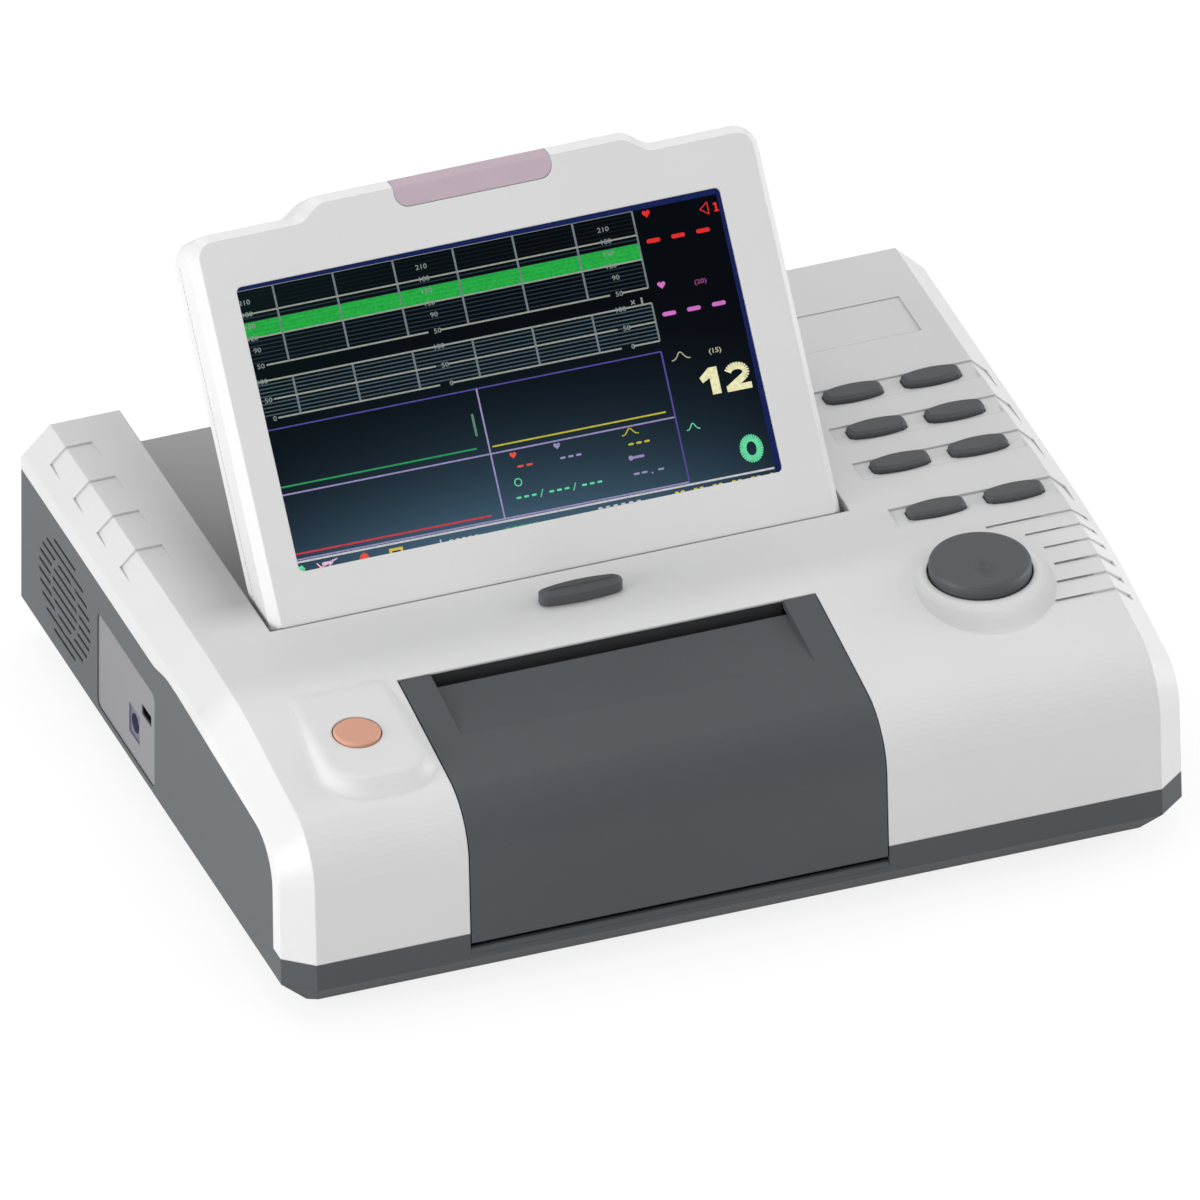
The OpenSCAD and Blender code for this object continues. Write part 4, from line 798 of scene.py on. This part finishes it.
def draw_strips(picture):
    for value in range(60, BEATS_MAX, 10):
        tone = "faint" if value > 180 else "fine"
        picture.level(LEFT, STRIP_END, beats_y(value), 0.35, tone)
    for value in range(10, LOAD_MAX, 10):
        picture.level(LEFT, STRIP_END, load_y(value), 0.45, "load_line")
    picture.bar(LEFT, beats_y(BAND[0]), STRIP_END, beats_y(BAND[1]), "band", 2)
    for value in range(BAND[0] + 10, BAND[1], 10):
        picture.level(LEFT, STRIP_END, beats_y(value), 0.3, "band_line", 3)
    for value in (240, 180, 120):
        picture.level(LEFT, STRIP_END, beats_y(value), 0.55, "grid", 3)
    picture.level(LEFT, STRIP_END, load_y(LOAD_MAX), 0.6, "grid", 3)
    for i in range(UPRIGHTS):
        x = FIRST_UPRIGHT + i * UPRIGHT_STEP
        picture.upright(x, BEATS_LOW, BEATS_TOP, UPRIGHT_W, "upright", 3)
        picture.upright(x, LOAD_LOW, LOAD_TOP, UPRIGHT_W, "upright", 3)
    picture.upright(STRIP_END, BEATS_LOW, BEATS_TOP, 0.7, "upright", 3)
    picture.upright(STRIP_END, LOAD_LOW, LOAD_TOP, 0.7, "upright", 3)
    # these three lines stop short of their own figures
    for y in (beats_y(50), load_y(50), load_y(0)):
        start = SCALE_AT[0] + 2.4
        for x in SCALE_AT[1:]:
            picture.level(start, x - 3.2, y, 0.6, "grid", 3)
            start = x + 1.2
        picture.level(start, STRIP_END, y, 0.6, "grid", 3)


def draw_scales(picture):
    marks = [(value, beats_y(value)) for value in (210, 180, 150, 120, 90, 50)]
    marks += [(value, load_y(value)) for value in (100, 50, 0)]
    for x in SCALE_AT:
        for value, y in marks:
            text = str(value)
            picture.number(text, x + 2.0 - 1.6 * len(text), y - 0.87, SCALE_HEIGHT, "figure",
                           bold=0.03, wide=1.2, layer=4)
    picture.number("1", 51.3, 87.9, 2.1, "grid", bold=0.12, wide=1.3)
    for dx in (-0.7, 0.7):
        picture.line([(48.9 - dx, 88.2), (48.9 + dx, 89.6)], 0.35, "grid")


def draw_frames(picture):
    """Violet lines that part the lower half into boxes, and the status line's rule."""
    picture.level(LEFT, BOX_RIGHT, BOX_TOP, 0.5, "violet", 3)
    picture.level(LEFT, BOX_RIGHT, BOX_MIDDLE, 0.55, "lilac", 3)
    picture.level(LEFT, BOX_RIGHT, BOX_LOW, 0.55, "lilac", 3)
    picture.level(LEFT, 87.2, STATUS_RULE, 0.7, "foot", 3)
    picture.upright(BOX_SPLIT, BOX_LOW, BOX_TOP, 0.62, "lilac", 3)
    picture.upright(BOX_RIGHT, BOX_LOW, BOX_TOP, 0.62, "violet", 3)
    # blue rim of the picture along the top and the right
    picture.bar(LEFT, TOP - FRAME_W, RIGHT, TOP + FRAME_OUT, "frame", 4)
    picture.bar(RIGHT - FRAME_W, LOW - FRAME_OUT, RIGHT + FRAME_OUT, TOP, "frame", 4)


def draw_traces(picture):
    picture.level(LEFT, -19.2, 49.3, 0.6, "green", 3)
    picture.upright(-18.2, 53.6, 61.6, 0.9, "tick", 3)
    picture.level(-13.4, 52.2, 48.9, 0.55, "yellow", 3)
    picture.level(LEFT, -19.2, 25.1, 0.65, "rose", 3)


def draw_readings(picture):
    """The right column: empty readings, each under a sign, and the two big figures."""
    picture.heart(60.6, 118.6, 1.5, "red")
    picture.heart(60.6, 93.0, 1.5, "magenta")
    picture.hump(COLUMN, 66.0, 7.0, 2.6, "dim_cream")
    picture.hump(COLUMN, 41.0, 5.0, 2.2, "mint")
    for y, colour in ((108.8, "red"), (82.6, "magenta")):
        for x in DASH_AT:
            picture.dash(x, y, 5.2, 1.5, colour)
    picture.number("(20)", 72.6, 90.8, 1.6, "dim_magenta", bold=0.05, wide=1.3)
    picture.number("(15)", 72.4, 66.0, 1.7, "dim_cream", bold=0.05, wide=1.25)
    # the two readings: a one and a two above, a nought below
    picture.outline([(67.0, 58.2), (70.9, 61.2), (74.0, 61.2), (74.0, 51.6), (70.7, 51.6),
                     (70.7, 57.6), (67.9, 56.2)], "cream", 3)
    bow = arc(81.0, 57.7, 3.4, 2.35, 165, -46, -15)
    picture.line(bow + [(77.4, 52.6)], 2.5, "cream", 3)
    picture.bar(76.2, 51.4, 85.6, 53.6, "cream", 3)
    picture.line(arc(80.4, 30.5, 3.1, 3.75, 0, 361, 12), 2.5, "mint", 3)
    # loudspeaker sign and its level
    picture.line([(80.3, 116.0), (83.4, 118.3), (83.4, 114.0), (80.3, 116.2)], 0.4, "red", 3)
    picture.upright(86.4, 114.7, 117.6, 0.8, "red", 3)
    picture.bar(85.5, 114.4, 87.3, 114.9, "red", 3)
    picture.line([(85.5, 117.0), (86.4, 117.5)], 0.5, "red", 3)


def draw_small_readings(picture):
    """The box below the yellow trace: empty readings as rows of dashes."""
    picture.heart(-6.6, 44.6, 1.3, "icon_red")
    picture.heart(10.0, 44.8, 1.3, "lilac")
    picture.hump(34.4, 43.6, 6.4, 2.2, "yellow")
    picture.dashes(-6.0, 40.2, 2, "icon_red", length=2.4, step=3.4)
    picture.dashes(10.2, 40.2, 3, "lilac")
    picture.dashes(36.0, 40.2, 3, "yellow")
    picture.dashes(35.6, 29.6, 2, "lilac", length=2.3)
    picture.dash(42.2, 28.9, 0.7, 0.7, "lilac")
    picture.dashes(44.8, 29.6, 1, "lilac", length=2.3)
    for i in range(3):
        picture.dashes(-8.8 + 12.4 * i, 29.4, 3, "mint", length=1.9, step=2.9)
    for i in range(2):
        picture.line([(0.2 + 12.4 * i, 28.2), (1.5 + 12.4 * i, 30.8)], 0.35, "mint")
    # cuff and thermometer signs
    picture.line(arc(-6.9, 34.8, 1.3, 1.3, 0, 361, 24), 0.4, "mint", 3)
    picture.dash(35.6, 35.4, 5.4, 0.9, "lilac", 3)
    picture.outline(arc(35.9, 35.4, 0.9, 0.9, 0, 360, 30), "lilac", 3)


def draw_status(picture):
    """Signs along the lower edge, partly under the housing's rim."""
    picture.outline([(-93.8, 20.4), (-92.0, 20.9), (-91.0, 19.6), (-91.6, 17.8), (-93.8, 17.6)],
                    "mint", 3)
    # sound switched off
    picture.line([(-86.4, 20.6), (-84.8, 18.4), (-82.2, 18.4), (-80.2, 20.8)], 0.5, "icon_pink", 3)
    picture.line([(-86.6, 18.4), (-78.6, 21.0)], 0.45, "icon_pink", 3)
    picture.dash(-84.6, 20.0, 4.2, 1.1, "icon_pink", 3)
    # alarm bell
    picture.outline([(-71.2, 17.8), (-69.9, 20.4), (-68.6, 21.2), (-67.3, 20.4), (-66.2, 17.8)],
                    "icon_red", 3)
    # battery
    picture.bar(-59.2, 18.2, -54.0, 20.6, "icon_gold", 3)
    picture.bar(-58.2, 18.8, -55.0, 19.6, "frame", 4)
    # the line's own entries, as figures and dashes
    picture.number("1", -40.6, 18.4, 1.9, "foot", bold=0.1, wide=1.3)
    picture.dashes(-36.6, 19.3, 5, "foot", length=1.5, step=2.4, width=0.6)
    picture.dashes(-15.4, 19.6, 5, "green", length=2.0, step=2.7, width=0.8)
    picture.dashes(20.0, 20.2, 6, "foot", length=1.7, step=2.9, width=0.6)
    for i in range(6):
        picture.dashes(49.0 + 7.2 * i, 20.3, 2, "icon_gold", length=1.6, step=2.2, width=0.8)


def glow(name, colour):
    """A lit colour of the display: dark glass that gives light, with a faint raster."""
    paint = Shader(name)
    lit = paint.ramp(paint.noise(900.0, detail=0.0), shade(colour, 0.9), shade(colour, 1.06),
                     0.35, 0.65)
    paint.set(Base_Color=paint.times(lit, 0.05), Emission_Color=lit, Emission_Strength=0.95,
              Roughness=0.3, Specular_IOR_Level=0.0)
    return paint.material


def display_ground():
    """The dark ground of the picture: near black above, a blue glow that grows downwards."""
    paint = Shader("display_ground")
    flat = paint.tree.nodes.new("ShaderNodeTexCoord").outputs["UV"]
    across, up = paint.split(flat)[:2]
    down = paint.maths("SUBTRACT", 1.0, up)
    back = paint.maths("SUBTRACT", 1.0, across)
    aside = paint.maths("ABSOLUTE", paint.maths("SUBTRACT", across, 0.42))
    fall = paint.product(paint.maths("POWER", aside, 1.6), 1.9)
    pool = paint.product(paint.maths("POWER", down, 4.6), paint.maths("SUBTRACT", 1.0, fall))
    corner = paint.product(paint.maths("POWER", back, 3.0), paint.maths("POWER", up, 2.0))
    ground = paint.blend(corner, paint.ramp(pool, SKY_BLACK, POOL_BLUE, 0.0, 0.95), CORNER_GREEN)
    cloud = paint.spread(paint.noise(20.0), 0.0, 0.18)
    ground = paint.blend(cloud, ground, CLOUD_BLACK)
    paint.set(Base_Color=paint.times(ground, 0.1), Emission_Color=ground, Emission_Strength=0.9,
              Roughness=0.3, Specular_IOR_Level=0.0)
    paint.surface(paint.noise(1200.0), 0.002 * MM)
    return paint.material


def trim_to_window(mesh):
    """Cuts off what runs past the window, just under the housing's rim."""
    edges = ((LEFT, 0, 1, 0), (PAST_RIGHT, 0, -1, 0), (0, PAST_TOP, 0, -1), (0, LOW, 0, 1))
    for x, y, inward_x, inward_y in edges:
        outward = ON_SCREEN.to_3x3() @ Vector((-inward_x, -inward_y, 0))
        everything = list(mesh.verts) + list(mesh.edges) + list(mesh.faces)
        bmesh.ops.bisect_plane(mesh, geom=everything, plane_co=on_screen(x, y),
                               plane_no=outward, clear_outer=True)


def build_picture():
    picture = Picture()
    mesh = picture.mesh
    ground_slot = picture.slot("ground")
    for draw in (draw_strips, draw_scales, draw_frames, draw_traces, draw_readings,
                 draw_small_readings, draw_status):
        draw(picture)
    trim_to_window(mesh)
    uv = mesh.loops.layers.uv.new("picture")
    across = (0, 1, 1, 0)
    up = (0, 0, 1, 1)
    corners = [on_screen((LEFT, PAST_RIGHT)[u], (LOW, PAST_TOP)[v], PICTURE_OUT)
               for u, v in zip(across, up)]
    ground = mesh.faces.new([mesh.verts.new(corner) for corner in corners])
    ground.material_index = ground_slot
    for loop, place in zip(ground.loops, zip(across, up)):
        loop[uv].uv = place
    lit = [glow("lit_" + colour, INK[colour]) for colour in picture.colours[1:]]
    piece = add_mesh("screen_picture", mesh, display_ground(), *lit)
    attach(piece, "screen")


build_picture()


# Stage: a pale floor that carries the object's shadow, under an even sky

FLOOR_HALF = 4.0
FLOOR_TONE = (0.8, 0.8, 0.8, 1.0)
FLOOR_GLOW = 1.12
# how far the floor is white of itself where the camera sees it; the rest keeps the shadow
FLOOR_LIFT = 0.74
PURE_WHITE = (1.0, 1.0, 1.0, 1.0)
SKY_STRENGTH = 0.71

# Softboxes: place, power in watts and size
LAMPS = {
    "left": ((-1.75, -0.35, 0.31), 22.5, 1.0),
    "right": ((1.75, -0.15, 0.42), 14.0, 1.0),
    "above": ((-0.1, 0.55, 1.65), 5.0, 0.9),
}
LAMP_AIM = (0.0, 0.0, 0.08)


def floor_paint():
    """Pale and matt; where it is seen, most of it is plain white."""
    paint = Shader("floor")
    paint.set(Base_Color=FLOOR_TONE, Roughness=0.9, Specular_IOR_Level=0.1)
    ray = paint.tree.nodes.new("ShaderNodeLightPath").outputs
    seen = paint.maths("MAXIMUM", ray["Is Camera Ray"], ray["Is Glossy Ray"])
    seen = paint.maths("MAXIMUM", seen, ray["Is Transmission Ray"])
    white = paint.tree.nodes.new("ShaderNodeEmission")
    white.inputs["Color"].default_value = PURE_WHITE
    white.inputs["Strength"].default_value = FLOOR_GLOW
    both = paint.tree.nodes.new("ShaderNodeMixShader")
    paint.feed(both.inputs["Fac"], paint.product(seen, FLOOR_LIFT))
    paint.feed(both.inputs[1], paint.main.outputs["BSDF"])
    paint.feed(both.inputs[2], white.outputs["Emission"])
    paint.feed(paint.tree.nodes["Material Output"].inputs["Surface"], both.outputs["Shader"])
    return paint.material


def build_floor():
    mesh = bmesh.new()
    corners = ((-1, -1, 0), (1, -1, 0), (1, 1, 0), (-1, 1, 0))
    mesh.faces.new([mesh.verts.new(Vector(corner) * FLOOR_HALF) for corner in corners])
    floor = add_mesh("floor", mesh, floor_paint())


def build_sky():
    """Plain white to the camera, and dimmer as a light."""
    world = bpy.data.worlds.new("sky")
    bpy.context.scene.world = world
    world.use_nodes = True
    tree = world.node_tree
    sky = tree.nodes["Background"]
    sky.inputs["Color"].default_value = PURE_WHITE
    ray = tree.nodes.new("ShaderNodeLightPath")
    pick = tree.nodes.new("ShaderNodeMix")
    pick.inputs["A"].default_value = SKY_STRENGTH
    pick.inputs["B"].default_value = 1.0
    tree.links.new(ray.outputs["Is Camera Ray"], pick.inputs["Factor"])
    tree.links.new(pick.outputs["Result"], sky.inputs["Strength"])


def soft_lamp(name, place, power, size):
    """A square softbox that faces the object."""
    light = bpy.data.lights.new(name, "AREA")
    light.shape = "SQUARE"
    light.size = size
    light.energy = power
    lamp = add_object(name, light)
    lamp.location = place
    aim = Vector(LAMP_AIM) - Vector(place)
    lamp.rotation_euler = aim.to_track_quat("-Z", "Y").to_euler()


build_floor()
build_sky()
for name, (place, power, size) in LAMPS.items():
    soft_lamp(name, place, power, size)


# Camera: parallel, 20.5 degrees left of the front and 34 degrees above

VIEW_TURN = math.radians(-20.5)
VIEW_RISE = math.radians(34)
PX_PER_MM = 2.828
PHOTO_PX = 1200
ORIGIN_PX = (605.76, 736.43)
CAMERA_AWAY = 2.0
CAMERA_REACH = 20.0


def build_camera():
    """The origin of the frame lands on ORIGIN_PX of a photograph PHOTO_PX wide."""
    data = bpy.data.cameras.new("camera")
    data.type = "ORTHO"
    data.ortho_scale = PHOTO_PX / PX_PER_MM * MM
    data.clip_end = CAMERA_REACH
    camera = add_object("camera", data)
    turn = (Matrix.Rotation(VIEW_TURN, 4, "Z")
            @ Matrix.Rotation(math.pi / 2 - VIEW_RISE, 4, "X"))
    right, up, back = turn.to_3x3().col
    half = PHOTO_PX / 2
    aim = (right * (half - ORIGIN_PX[0]) - up * (half - ORIGIN_PX[1])) / PX_PER_MM * MM
    camera.matrix_world = Matrix.Translation(aim + back * CAMERA_AWAY) @ turn
    bpy.context.scene.camera = camera


build_camera()
bpy.context.scene.view_settings.view_transform = "Standard"
